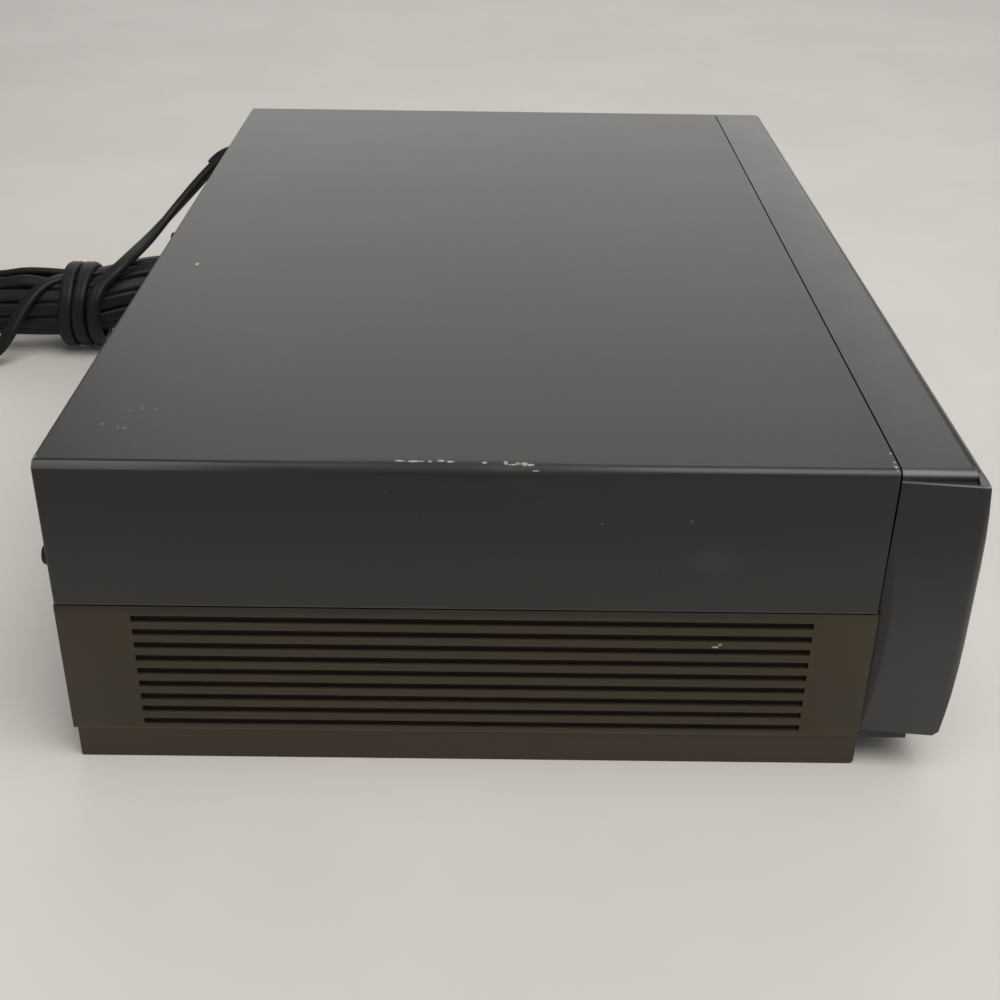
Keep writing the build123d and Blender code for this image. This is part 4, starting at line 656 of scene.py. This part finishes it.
def painted_louvre_shade_finish():
    """Near-black sheet with a fine hole pattern behind the louvres: painted shade that darkens the
    slots.
    """
    mesh = Finish("louvre_shade_sheet")
    holes = mesh.cells(1400.0, randomness=0.2)
    body = mesh.mix(holes.ramp(0.2, 0.5), (0.0022, 0.0010, 0.0006), (0.0080, 0.0042, 0.0026))
    normal = mesh.bump(holes, 0.0001, 0.5)
    return mesh.shade(Base_Color=body, Roughness=0.8 + holes * 0.1, Normal=normal)


def cord_sheath():
    """Limp black sheath with a soft sheen, worn paler in patches, with painted light on the cord
    between 35 and 75 mm above the floor, along the lead from the relief.
    """
    sheath = Finish("cord_sheath")
    colour = tuple(bpy.context.scene.recorder_cord.colour)
    grain = sheath.noise(900.0, 3.0, 0.6)
    rub = sheath.noise(110.0, 3.0, 0.6)
    # Painted light: the cord is made paler between 35 and 75 mm above the floor, along the lead
    # from the relief.
    worn = abs(sheath.z - 55 * MM) < 20 * MM
    body = sheath.mix(rub.ramp(0.45, 0.8) * 0.4, colour, tone(colour, 1.9))
    body = sheath.mix(worn * 0.3, body, (0.020, 0.019, 0.018))
    return sheath.shade(
        Base_Color=body, Roughness=0.46 + rub * 0.14, Specular_IOR_Level=0.32,
        Normal=sheath.bump(grain, 0.00005, 0.4),
    )


def wound_core():
    """Stacked core plates, with lacquered copper wire in close rows on both sides of them."""
    core = Finish("wound_core")
    low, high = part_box("transformer")

    def rows(axis, scale, distortion):
        settings = {"wave_type": "BANDS", "bands_direction": axis}
        sockets = {"Vector": core.object_place, "Scale": scale, "Distortion": distortion}
        return core.level("ShaderNodeTexWave", settings, sockets)

    wires, plates = rows("Z", 420.0, 0.3), rows("Y", 500.0, 0.1)
    wound = abs(core.y - (low.y + high.y) / 2) > 9.6 * MM
    copper = core.mix(wires, (0.20, 0.055, 0.02), (0.45, 0.16, 0.06))
    body = core.mix(wound, core.mix(plates, (0.10, 0.10, 0.11), (0.24, 0.24, 0.25)), copper)
    ridges = wound * wires + (1.0 - wound) * plates
    normal = core.bump(ridges, 0.0002, 0.6)
    return core.shade(Base_Color=body, Metallic=0.8, Roughness=0.35 + ridges * 0.1, Normal=normal)


def base_plastic():
    colour = tuple(bpy.context.scene.recorder_case.base_colour)
    return moulded("base_plastic", colour, 0.46, dress_base, streak=0.1)


def bezel_plastic():
    colour = tuple(bpy.context.scene.recorder_case.bezel_colour)
    return moulded("bezel_plastic", colour, 0.30, dress_bezel, depth=0.00002)


PLASTICS = {
    "button_plastic": ((0.040, 0.040, 0.042), 0.38, dress_buttons),
    "plug_plastic": ((0.010, 0.010, 0.011), 0.45, dress_plug),
    "socket_plastic": ((0.014, 0.014, 0.015), 0.42, dress_sockets),
    "black_plastic": ((0.014, 0.014, 0.015), 0.45),
    "white_plastic": ((0.62, 0.60, 0.55), 0.42),
}
METALS = {
    "oxide_steel": ((0.045, 0.043, 0.040), 0.42),
    "zinc_steel": ((0.47, 0.47, 0.46), 0.40, (1.0, 1.0, 1.0), 0.16),
    "bright_metal": ((0.72, 0.70, 0.66), 0.22),
    "aluminium": ((0.78, 0.78, 0.79), 0.3, (0.04, 0.04, 1.0)),
    "steel": ((0.52, 0.51, 0.50), 0.28, (0.1, 1.0, 1.0)),
}
MAKERS = {
    "cover_steel": coated_steel,
    "base_plastic": base_plastic,
    "bezel_plastic": bezel_plastic,
    "smoked_plastic": smoked_window,
    "board": circuit_board,
    "rubber": rubber,
    "louvre_shade_sheet": painted_louvre_shade_finish,
    "cord": cord_sheath,
    "wound_core": wound_core,
}
OWN_FINISH = {"transformer": "wound_core", "av_sockets": "socket_plastic"}
FINISHES = {}


def finish(name):
    """The finish of that name, made when it is first asked for."""
    if name not in FINISHES:
        if name in PLASTICS:
            FINISHES[name] = moulded(name, *PLASTICS[name])
        elif name in METALS:
            FINISHES[name] = bare_metal(name, *METALS[name])
        else:
            FINISHES[name] = MAKERS[name]()
    return FINISHES[name]


# ---- modelling kit
MERGED = 0.002 * MM
FLAT, SHARP, SMOOTH = (math.radians(angle) for angle in (0.6, 28.0, 35.0))


def leave_edit():
    if bpy.context.object is not None and bpy.context.object.mode != "OBJECT":
        bpy.ops.object.mode_set(mode="OBJECT")


def deselect():
    leave_edit()
    bpy.ops.object.select_all(action="DESELECT")


def select_only(piece):
    deselect()
    piece.select_set(True)
    bpy.context.view_layer.objects.active = piece


def edit_all():
    """Goes into edit mode with the whole of the active piece selected."""
    bpy.ops.object.mode_set(mode="EDIT")
    bpy.ops.mesh.select_all(action="SELECT")


def pick(kind, test):
    """Selects the edges or faces whose middle and direction or normal pass a test."""
    piece = bpy.context.object
    mesh = bmesh.from_edit_mesh(piece.data)
    bpy.ops.mesh.select_mode(type=kind)
    bpy.ops.mesh.select_all(action="DESELECT")
    if kind == "EDGE":
        for edge in mesh.edges:
            first, second = (vertex.co for vertex in edge.verts)
            edge.select_set(bool(test((first + second) / 2, (second - first).normalized())))
    else:
        for face in mesh.faces:
            face.select_set(bool(test(face.calc_center_median(), face.normal)))
    found = any(part.select for part in (mesh.edges if kind == "EDGE" else mesh.faces))
    mesh.select_flush_mode()
    bmesh.update_edit_mesh(piece.data)
    if not found:
        raise RuntimeError(f"nothing to select on {piece.name}")


def block(name, low, high):
    """A box between two corners, in edit mode with its place in its mesh."""
    deselect()
    low, high = Vector(low), Vector(high)
    bpy.ops.mesh.primitive_cube_add(size=1.0, location=(low + high) / 2)
    piece = bpy.context.object
    piece.name = name
    piece.scale = high - low
    bpy.ops.object.transform_apply(location=True, rotation=True, scale=True)
    bpy.ops.object.mode_set(mode="EDIT")
    return piece


def modifier(piece, kind, **settings):
    """Adds a modifier and applies it."""
    select_only(piece)
    step = piece.modifiers.new(kind.title(), kind)
    for name, value in settings.items():
        setattr(step, name, value)
    bpy.ops.object.modifier_apply(modifier=step.name)


def finish_piece(piece, material, body, *nodes, slot=None):
    """Smooths a piece, gives it its finish and sets it on its CAD body."""
    select_only(piece)
    bpy.ops.object.shade_smooth_by_angle(angle=SMOOTH)
    piece.data.materials.clear()
    piece.data.materials.append(finish(material))
    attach(piece, body)
    if nodes:
        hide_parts(*nodes)
    return piece


def dressed(node, material, width, segments=2):
    """A copy of a CAD node with its facets merged and its sharp edges broken."""
    piece = bpy.data.objects.new(node + "_shell", frame["nodes"][node].data.copy())
    bpy.context.scene.collection.objects.link(piece)
    select_only(piece)
    bpy.ops.mesh.customdata_custom_splitnormals_clear()
    edit_all()
    bpy.ops.mesh.remove_doubles(threshold=MERGED)
    bpy.ops.mesh.dissolve_limited(angle_limit=FLAT)
    leave_edit()
    modifier(
        piece, "BEVEL", width=width, segments=segments, limit_method="ANGLE", angle_limit=SHARP,
        use_clamp_overlap=True,
    )
    return finish_piece(piece, material, BODY_OF[node], node, slot=SLOT_OF[node])


# ---- mains cord
LEAD = [
    (0.163070, 0.135718, 0.070291), (0.160140, 0.141035, 0.065082), (0.151, 0.1549, 0.051),
    (0.136, 0.1617, 0.0446), (0.122, 0.1654, 0.0426), (0.109, 0.1704, 0.0395),
]
LEAD_FLATS = [
    (0.75, 0.2, 0.6), (0.7, 0.2, 0.7), (0.5, 0.2, 0.9), (0.3, 0.1, 1.0), (0.1, 0.0, 1.0),
    (-0.2, 0.0, 1.0),
]
HANK_X, HANK_Z = 0.115, 0.0198
WRAP_X, WRAP_Z = 0.0184, 0.0174
WRAP_STEPS, WRAP_START, WRAP_STEP = 39, 126.0, 22.5
WRAP_Y, WRAP_PITCH = 0.1818, 0.0062
WRAP_SWAY, WRAP_SWELL = 0.0006, 0.025
ENTRY_REACH, ENTRY_START, ENTRY_FADE = 0.007, 104.0, 26.0
CROSSING = [
    (0.1188, 0.1985, 0.0030), (0.1245, 0.2035, 0.0050), (0.1260, 0.2110, 0.0078),
    (0.1252, 0.2185, 0.0097),
]
CROSSING_FLATS = [(0.2, 0.0, -1.0), (0.5, 0.0, -0.8), (0.6, 0.0, -0.7), (0.6, 0.0, -0.7)]
RING_X, RING_Z = 0.0137, 0.0123
LEAN_Y, LEAN_REACH, LEAN_X, LEAN_Z = 0.195, 0.037, 0.0125, 0.0035
HUMP_Y, HUMP_REACH, HUMP_Z = 0.2115, 0.0095, 0.0034
RUNS, RUN_WANDER = 12, 0.09
LEFT_ENDS = [0.2230, 0.2310, 0.2260, 0.2340, 0.2230, 0.2290]
RIGHT_ENDS = [0.1580, 0.1510, 0.1560, 0.1500, 0.1550, 0.1520]
RUN_SHARES = (0.06, 0.16, 0.34, 0.50, 0.66, 0.84, 0.94)
FIRST_ANGLE, LOW_ANGLE, HIGH_ANGLE, ANGLE_STEP = -48.0, -75.5, 118.0, 27.0
TURN_STEPS, TURN_REACH, TURN_BULGE, TURN_LEAN = 12, 0.0150, 0.16, 0.028
FLOOR_CLEAR = 0.0036
LAST_RUN = (0.1560, 0.1615, 0.1700, 0.1810)
TAIL = [
    (0.1125, 0.1950, 0.0335), (0.1060, 0.2045, 0.0325), (0.0975, 0.2120, 0.0255),
    (0.0905, 0.2175, 0.0150), (0.0875, 0.2240, 0.0066), (0.0880, 0.2330, 0.0036),
    (0.0925, 0.2450, 0.0036), (0.1010, 0.2590, 0.0045), (0.1090, 0.2690, 0.0075),
    (0.1120, 0.2760, 0.0090), (0.1120, 0.2815, 0.0090),
]
UPWARD = (0.0, 0.0, 1.0)
TAIL_FLATS = [UPWARD] * 2 + [(-0.7, 0.3, 0.6)] * 3 + [UPWARD] * 6


def eased(value):
    value = min(1.0, max(0.0, value))
    return value * value * (3.0 - 2.0 * value)


def outward(angle):
    """The way out of the hank at an angle round it."""
    return math.cos(angle), 0.0, math.sin(angle)


def strand_place(angle, y, wander=0.0):
    """Where a strand of the hank runs: it wanders, humps at the top and leans at the right end."""
    angle += wander
    x, z = HANK_X + RING_X * math.cos(angle), HANK_Z + RING_Z * math.sin(angle)
    lean = eased((LEAN_Y - y) / LEAN_REACH)
    hump = max(0.0, math.sin(angle)) ** 2 * math.exp(-(((y - HUMP_Y) / HUMP_REACH) ** 2))
    return x + LEAN_X * lean, y, z + LEAN_Z * lean + HUMP_Z * hump


def wraps():
    """The turns that bind the hank, with the way of the cord's flat side."""
    points, flats = [], []
    for step in range(WRAP_STEPS):
        degrees = WRAP_START + WRAP_STEP * step
        angle = math.radians(degrees)
        entry = ENTRY_REACH * math.exp(-(degrees - ENTRY_START) / ENTRY_FADE)
        y = WRAP_Y + WRAP_PITCH * (degrees - 180.0) / 360.0 - entry
        y += WRAP_SWAY * math.sin(1.1 * step)
        width = WRAP_X * (1.0 + WRAP_SWELL * math.sin(2.3 * step))
        points.append((HANK_X + width * math.cos(angle), y, HANK_Z + WRAP_Z * math.sin(angle)))
        flats.append(outward(angle))
    return points, flats


def end_turn(first, second, end, way):
    """A half turn at an end of the hank, from one strand's angle to the next."""
    x0, _, z0 = strand_place(first, end)
    x1, _, z1 = strand_place(second, end)
    points, flats = [], []
    for step in range(TURN_STEPS + 1):
        turn = math.pi * step / TURN_STEPS
        across = math.cos(turn) * (1.0 + TURN_BULGE * math.sin(turn) ** 2) / 2
        x, z = (x0 + x1) / 2 + (x0 - x1) * across, (z0 + z1) / 2 + (z0 - z1) * across
        points.append((x, end + way * TURN_REACH * math.sin(turn), max(z, FLOOR_CLEAR)))
        away, rise = (x0 - x1) * math.cos(turn), (z0 - z1) * math.cos(turn)
        flats.append((away, way * TURN_LEAN * math.sin(turn), rise))
    return points, flats


def hank_points():
    """The hank's part of the cord's line: its wraps, then the long runs inside them."""
    points, flats = wraps()
    points += CROSSING
    flats += CROSSING_FLATS
    angles = []
    for pair in range(RUNS // 2 + 1):
        angles += [math.radians(first + ANGLE_STEP * pair) for first in (LOW_ANGLE, HIGH_ANGLE)]
    angles[0] = math.radians(FIRST_ANGLE)
    start = None
    for run in range(RUNS):
        leftward = run % 2 == 0
        end = (LEFT_ENDS if leftward else RIGHT_ENDS)[run // 2]
        for share in RUN_SHARES if start else ():
            wander = RUN_WANDER * math.sin(2.1 * run) * math.sin(math.pi * share) ** 2
            points.append(strand_place(angles[run], start + (end - start) * share, wander))
            flats.append(outward(angles[run]))
        turned = end_turn(angles[run], angles[run + 1], end, 1 if leftward else -1)
        points += turned[0]
        flats += turned[1]
        start = end
    points += [strand_place(angles[RUNS], y) for y in LAST_RUN] + TAIL
    flats += [outward(angles[RUNS])] * len(LAST_RUN) + TAIL_FLATS
    return points, flats


SECTION_STEPS, SECTION_START, SECTION_STEP = 9, -110.0, 27.5
WIDEST = SECTION_STEPS // 2
TINY = 1e-12


def twin_section():
    """The outline of the flat twin flex: two cores side by side with a shallow groove between."""
    cord = bpy.context.scene.recorder_cord
    radius = cord.thickness / 2
    reach = cord.width / 2 - radius
    outline = bpy.data.curves.new("flex_section", "CURVE")
    outline.dimensions = "2D"
    spline = outline.splines.new("POLY")
    places = []
    for side in (1, -1):
        for step in range(SECTION_STEPS):
            angle = math.radians(SECTION_START + SECTION_STEP * step)
            angle += 0.0 if side > 0 else math.pi
            places.append((side * reach + radius * math.cos(angle), radius * math.sin(angle)))
    spline.points.add(len(places) - 1)
    for point, (x, y) in zip(spline.points, places):
        point.co = (x, y, 0.0, 1.0)
    spline.use_cyclic_u = True
    section = bpy.data.objects.new("flex_section", outline)
    bpy.context.scene.collection.objects.link(section)
    section.hide_render = True
    section.hide_viewport = True
    return section, len(places)


class RECORDER_OT_cord(bpy.types.Operator):
    """Lays the mains cord from its relief into the hank behind the case"""

    bl_idname = "recorder.cord"
    bl_label = "Mains Cord"

    def execute(self, context):
        points, flats = hank_points()
        points, flats = LEAD + points, LEAD_FLATS + flats
        section, sides = twin_section()
        line = bpy.data.curves.new("mains_cord", "CURVE")
        line.dimensions = "3D"
        line.resolution_u = 5
        line.twist_mode = "MINIMUM"
        spline = line.splines.new("NURBS")
        spline.points.add(len(points) - 1)
        for point, place in zip(spline.points, points):
            point.co = (*place, 1.0)
        spline.order_u = 3
        spline.use_endpoint_u = True
        line.bevel_mode = "OBJECT"
        line.bevel_object = section
        line.use_fill_caps = True
        piece = bpy.data.objects.new("mains_cord", line)
        context.scene.collection.objects.link(piece)
        lay_flat(piece, sides, flats)
        line.materials.append(finish("cord"))
        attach(piece, "case")
        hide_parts("power_cord", "cord_hank")
        plug = dressed("power_plug", "plug_plastic", width=0.6 * MM)
        return {"FINISHED"}


def lay_flat(piece, sides, flats):
    """Tilts each point of a flat cord so that its flat side faces the given way."""
    context = bpy.context
    context.view_layer.update()
    mesh = piece.evaluated_get(context.evaluated_depsgraph_get()).to_mesh()
    places = np.array([vertex.co for vertex in mesh.vertices], float)
    rings = len(places) // sides
    places = places[: rings * sides].reshape(rings, sides, 3)
    centres = places.mean(1)
    ahead = np.gradient(centres, axis=0)
    ahead /= np.linalg.norm(ahead, axis=1)[:, None] + TINY
    across = places[:, WIDEST] - centres
    tilt = 0.0
    for count, (point, flat) in enumerate(zip(piece.data.splines[0].points, flats)):
        ring = min(rings - 1, max(0, round((count - 0.5) * piece.data.resolution_u)))
        along = ahead[ring]
        want = np.cross(along, np.array(flat, float))
        if np.linalg.norm(want) > 1e-6:
            want /= np.linalg.norm(want)
            have = across[ring] - along * across[ring].dot(along)
            have /= np.linalg.norm(have) + TINY
            angle = math.atan2(np.cross(have, want).dot(along), have.dot(want))
            tilt = angle - math.pi * round((angle - tilt) / math.pi)
        point.tilt = tilt


# ---- case
NEAR = 0.05 * MM
FLANGE_CORNER = 1.1 * MM
# Place of the near-black sheet behind the louvres, which is painted shade for the slots.
SHADE_SHEET_INSET, SHADE_SHEET_GAUGE = 1.40 * MM, 0.06 * MM
SHADE_SHEET_FRONT, SHADE_SHEET_REAR = BEZEL_SEAM + 15.8 * MM, REAR - 18.9 * MM
SHADE_SHEET_LOW, SHADE_SHEET_HIGH = SKIRT + 1.0 * MM, SKIRT + 4.0 * MM


def at_wall(place):
    return abs(abs(place.x) - SIDE) < NEAR


def at_top(place):
    return abs(place.z - TOP) < NEAR


def at_rear(place):
    return abs(place.y - REAR) < NEAR


def on_bend(place, radius):
    """True where a place lies on the outer arc of one of the cover's long bends."""
    away = math.hypot(abs(place.x) - (SIDE - radius), place.z - (TOP - radius))
    return abs(place.x) > SIDE - radius and place.z > TOP - radius and away > 0.97 * radius


class RECORDER_OT_cover(bpy.types.Operator):
    """Folds the top cover out of one sheet, with its long bends and its turned-in rear edge"""

    bl_idname = "recorder.cover"
    bl_label = "Top Cover"

    def execute(self, context):
        case = context.scene.recorder_case
        low = Vector((COVER_LOW.x, BEZEL_SEAM + case.front_gap, SEAM + case.lower_gap))
        piece = block("cover_sheet", low, COVER_HIGH)
        pick("EDGE", lambda place, way: at_wall(place) and at_top(place) and abs(way.y) > 0.9)
        bpy.ops.mesh.bevel(offset=case.cover_bend, segments=10, profile=0.5)
        pick("FACE", lambda place, normal: normal.z < -0.9 or abs(normal.y) > 0.9)
        bpy.ops.mesh.delete(type="FACE")
        pick("EDGE", lambda place, way: at_rear(place))
        bpy.ops.mesh.extrude_edges_move()
        shrink = Vector((1 - case.rear_flange / SIDE, 1.0, 1 - case.rear_flange / (TOP - low.z)))
        bpy.ops.transform.resize(value=shrink, center_override=(0.0, REAR, low.z))
        pick(
            "EDGE",
            lambda place, way: at_rear(place) and abs(way.y) < 0.1
            and (at_wall(place) or at_top(place) or on_bend(place, case.cover_bend)),
        )
        bpy.ops.mesh.bevel(offset=FLANGE_CORNER, segments=5, profile=0.5)
        leave_edit()
        modifier(piece, "SOLIDIFY", thickness=case.cover_gauge, offset=-1.0)
        finish_piece(piece, "cover_steel", "case", "top_cover")
        return {"FINISHED"}


class RECORDER_OT_base(bpy.types.Operator):
    """Finishes the louvred base, its plate and screws, and hangs a near-black sheet behind the
    louvres as painted shade in the slots
    """

    bl_idname = "recorder.base"
    bl_label = "Base"

    def execute(self, context):
        dressed("base_frame", "base_plastic", width=0.2 * MM)
        dressed("bottom_plate", "zinc_steel", width=0.1 * MM)
        dressed("case_screws", "oxide_steel", width=0.1 * MM)
        low = (-SIDE + SHADE_SHEET_INSET, SHADE_SHEET_FRONT, SHADE_SHEET_LOW)
        high = (-SIDE + SHADE_SHEET_INSET + SHADE_SHEET_GAUGE, SHADE_SHEET_REAR, SHADE_SHEET_HIGH)
        mesh = block("louvre_shade_sheet", low, high)
        bpy.ops.mesh.select_all(action="SELECT")
        bpy.ops.mesh.subdivide(number_cuts=2)
        leave_edit()
        modifier(
            mesh, "ARRAY", count=LOUVRE_COUNT, use_relative_offset=False, use_constant_offset=True,
            constant_offset_displace=(0.0, 0.0, LOUVRE_PITCH),
        )
        modifier(mesh, "MIRROR")
        select_only(mesh)
        edit_all()
        bpy.ops.mesh.normals_make_consistent(inside=False)
        leave_edit()
        finish_piece(mesh, "louvre_shade_sheet", "case", slot="black_plastic")
        return {"FINISHED"}


class RECORDER_OT_front(bpy.types.Operator):
    """Finishes the bezel, the cassette door, the window and the buttons"""

    bl_idname = "recorder.front"
    bl_label = "Front"

    def execute(self, context):
        dressed("front_bezel", "bezel_plastic", width=0.55 * MM, segments=4)
        dressed("cassette_door", "bezel_plastic", width=0.4 * MM)
        dressed("display_window", "smoked_plastic", width=0.2 * MM)
        for node in BUTTONS:
            dressed(node, "button_plastic", width=0.3 * MM)
        return {"FINISHED"}


class RECORDER_OT_mechanism(bpy.types.Operator):
    """Gives every inner piece that stays as modelled its own finish"""

    bl_idname = "recorder.mechanism"
    bl_label = "Mechanism"

    def execute(self, context):
        for node, source in frame["nodes"].items():
            if not source.hide_render:
                source.data.materials.clear()
                source.data.materials.append(finish(OWN_FINISH.get(node, SLOT_OF[node])))
        return {"FINISHED"}


# ---- stage
FLOOR_SIZE, FLOOR_MIDDLE = 8.0, (1.0, 0.0, 0.0)
LAMP_COLOUR = (1.0, 0.985, 0.965)
SENSOR, LENS, NEAREST = 36.0, 50.527, 0.02
EYE = (-0.48963, 0.00183, 0.25837)
PITCH, YAW, ROLL = (math.radians(angle) for angle in (29.298, -0.3108, 0.8547))


class RECORDER_OT_stage(bpy.types.Operator):
    """Lays the pale floor, hangs the soft lamps and sets the camera"""

    bl_idname = "recorder.stage"
    bl_label = "Stage"

    def execute(self, context):
        stage = context.scene.recorder_stage
        deselect()
        bpy.ops.mesh.primitive_plane_add(size=FLOOR_SIZE, location=FLOOR_MIDDLE)
        floor = context.object
        floor.name = "floor"
        bpy.ops.object.transform_apply(location=True)
        ground = Finish("pale_floor")
        cloud = ground.noise(6.0, 4.0, 0.6)
        colour = tuple(stage.floor_colour)
        body = ground.mix(cloud.ramp(0.35, 0.7), tone(colour, 0.97), tone(colour, 1.03))
        floor.data.materials.append(ground.shade(Base_Color=body, Roughness=0.6))
        world = bpy.data.worlds.new("pale_room")
        context.scene.world = world
        world.use_nodes = True
        backdrop = world.node_tree.nodes["Background"]
        backdrop.inputs["Color"].default_value = (*stage.room_colour, 1.0)
        backdrop.inputs["Strength"].default_value = stage.room
        lamp("key_lamp", (-0.58, -0.36, 1.38), (-0.12, 0.0, 0.0), 1.3, stage.overhead)
        lamp("far_lamp", (2.2, -0.05, 1.05), (0.0, 0.0, 0.1), 2.3, stage.fill)
        context.scene.view_settings.view_transform = "Standard"
        place_camera(context)
        return {"FINISHED"}


def lamp(name, place, target, size, power):
    """A square soft lamp that faces a target."""
    light = bpy.data.lights.new(name, "AREA")
    light.shape = "SQUARE"
    light.size = size
    light.energy = power
    light.color = LAMP_COLOUR
    thing = bpy.data.objects.new(name, light)
    bpy.context.scene.collection.objects.link(thing)
    thing.location = place
    thing.rotation_euler = (Vector(target) - Vector(place)).to_track_quat("-Z", "Y").to_euler()
    thing.visible_camera = False


def place_camera(context):
    """A normal lens beside the left side of the case, looking down across it."""
    camera = bpy.data.cameras.new("camera")
    camera.sensor_fit = "HORIZONTAL"
    camera.sensor_width = SENSOR
    camera.lens = LENS
    camera.clip_start = NEAREST
    thing = bpy.data.objects.new("camera", camera)
    context.scene.collection.objects.link(thing)
    level = math.cos(PITCH)
    ahead = Vector((level * math.cos(YAW), level * math.sin(YAW), -math.sin(PITCH)))
    aside = ahead.cross(Vector((0, 0, 1))).normalized()
    above = aside.cross(ahead)
    right = math.cos(ROLL) * aside + math.sin(ROLL) * above
    up = math.cos(ROLL) * above - math.sin(ROLL) * aside
    turn = Matrix((right, up, -ahead)).transposed().to_4x4()
    thing.matrix_world = Matrix.Translation(EYE) @ turn
    context.scene.camera = thing


# ---- panel
OPERATORS = [
    RECORDER_OT_stage,
    RECORDER_OT_cord,
    RECORDER_OT_cover,
    RECORDER_OT_base,
    RECORDER_OT_front,
    RECORDER_OT_mechanism,
]


class RECORDER_PT_panel(bpy.types.Panel):
    """Lists the recorder's settings and the steps that build it"""

    bl_idname = "RECORDER_PT_panel"
    bl_label = "Video Cassette Recorder"
    bl_space_type = "VIEW_3D"
    bl_region_type = "UI"
    bl_category = "Recorder"

    def draw(self, context):
        for group, kind in GROUPS.items():
            box = self.layout.box()
            for name in kind.__annotations__:
                box.prop(getattr(context.scene, group), name)
        for operator in OPERATORS:
            self.layout.operator(operator.bl_idname)


GROUPS = {
    "recorder_case": RecorderCaseSettings,
    "recorder_cord": RecorderCordSettings,
    "recorder_stage": RecorderStageSettings,
}


def register():
    for cls in (*GROUPS.values(), *OPERATORS, RECORDER_PT_panel):
        bpy.utils.register_class(cls)
    for name, cls in GROUPS.items():
        setattr(bpy.types.Scene, name, bpy.props.PointerProperty(type=cls))


def unregister():
    for name in GROUPS:
        delattr(bpy.types.Scene, name)
    for cls in (RECORDER_PT_panel, *reversed(OPERATORS), *reversed(GROUPS.values())):
        bpy.utils.unregister_class(cls)


def main():
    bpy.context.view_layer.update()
    register()
    for operator in OPERATORS:
        getattr(bpy.ops.recorder, operator.bl_idname.split(".")[1])()


if __name__ == "__main__":
    main()
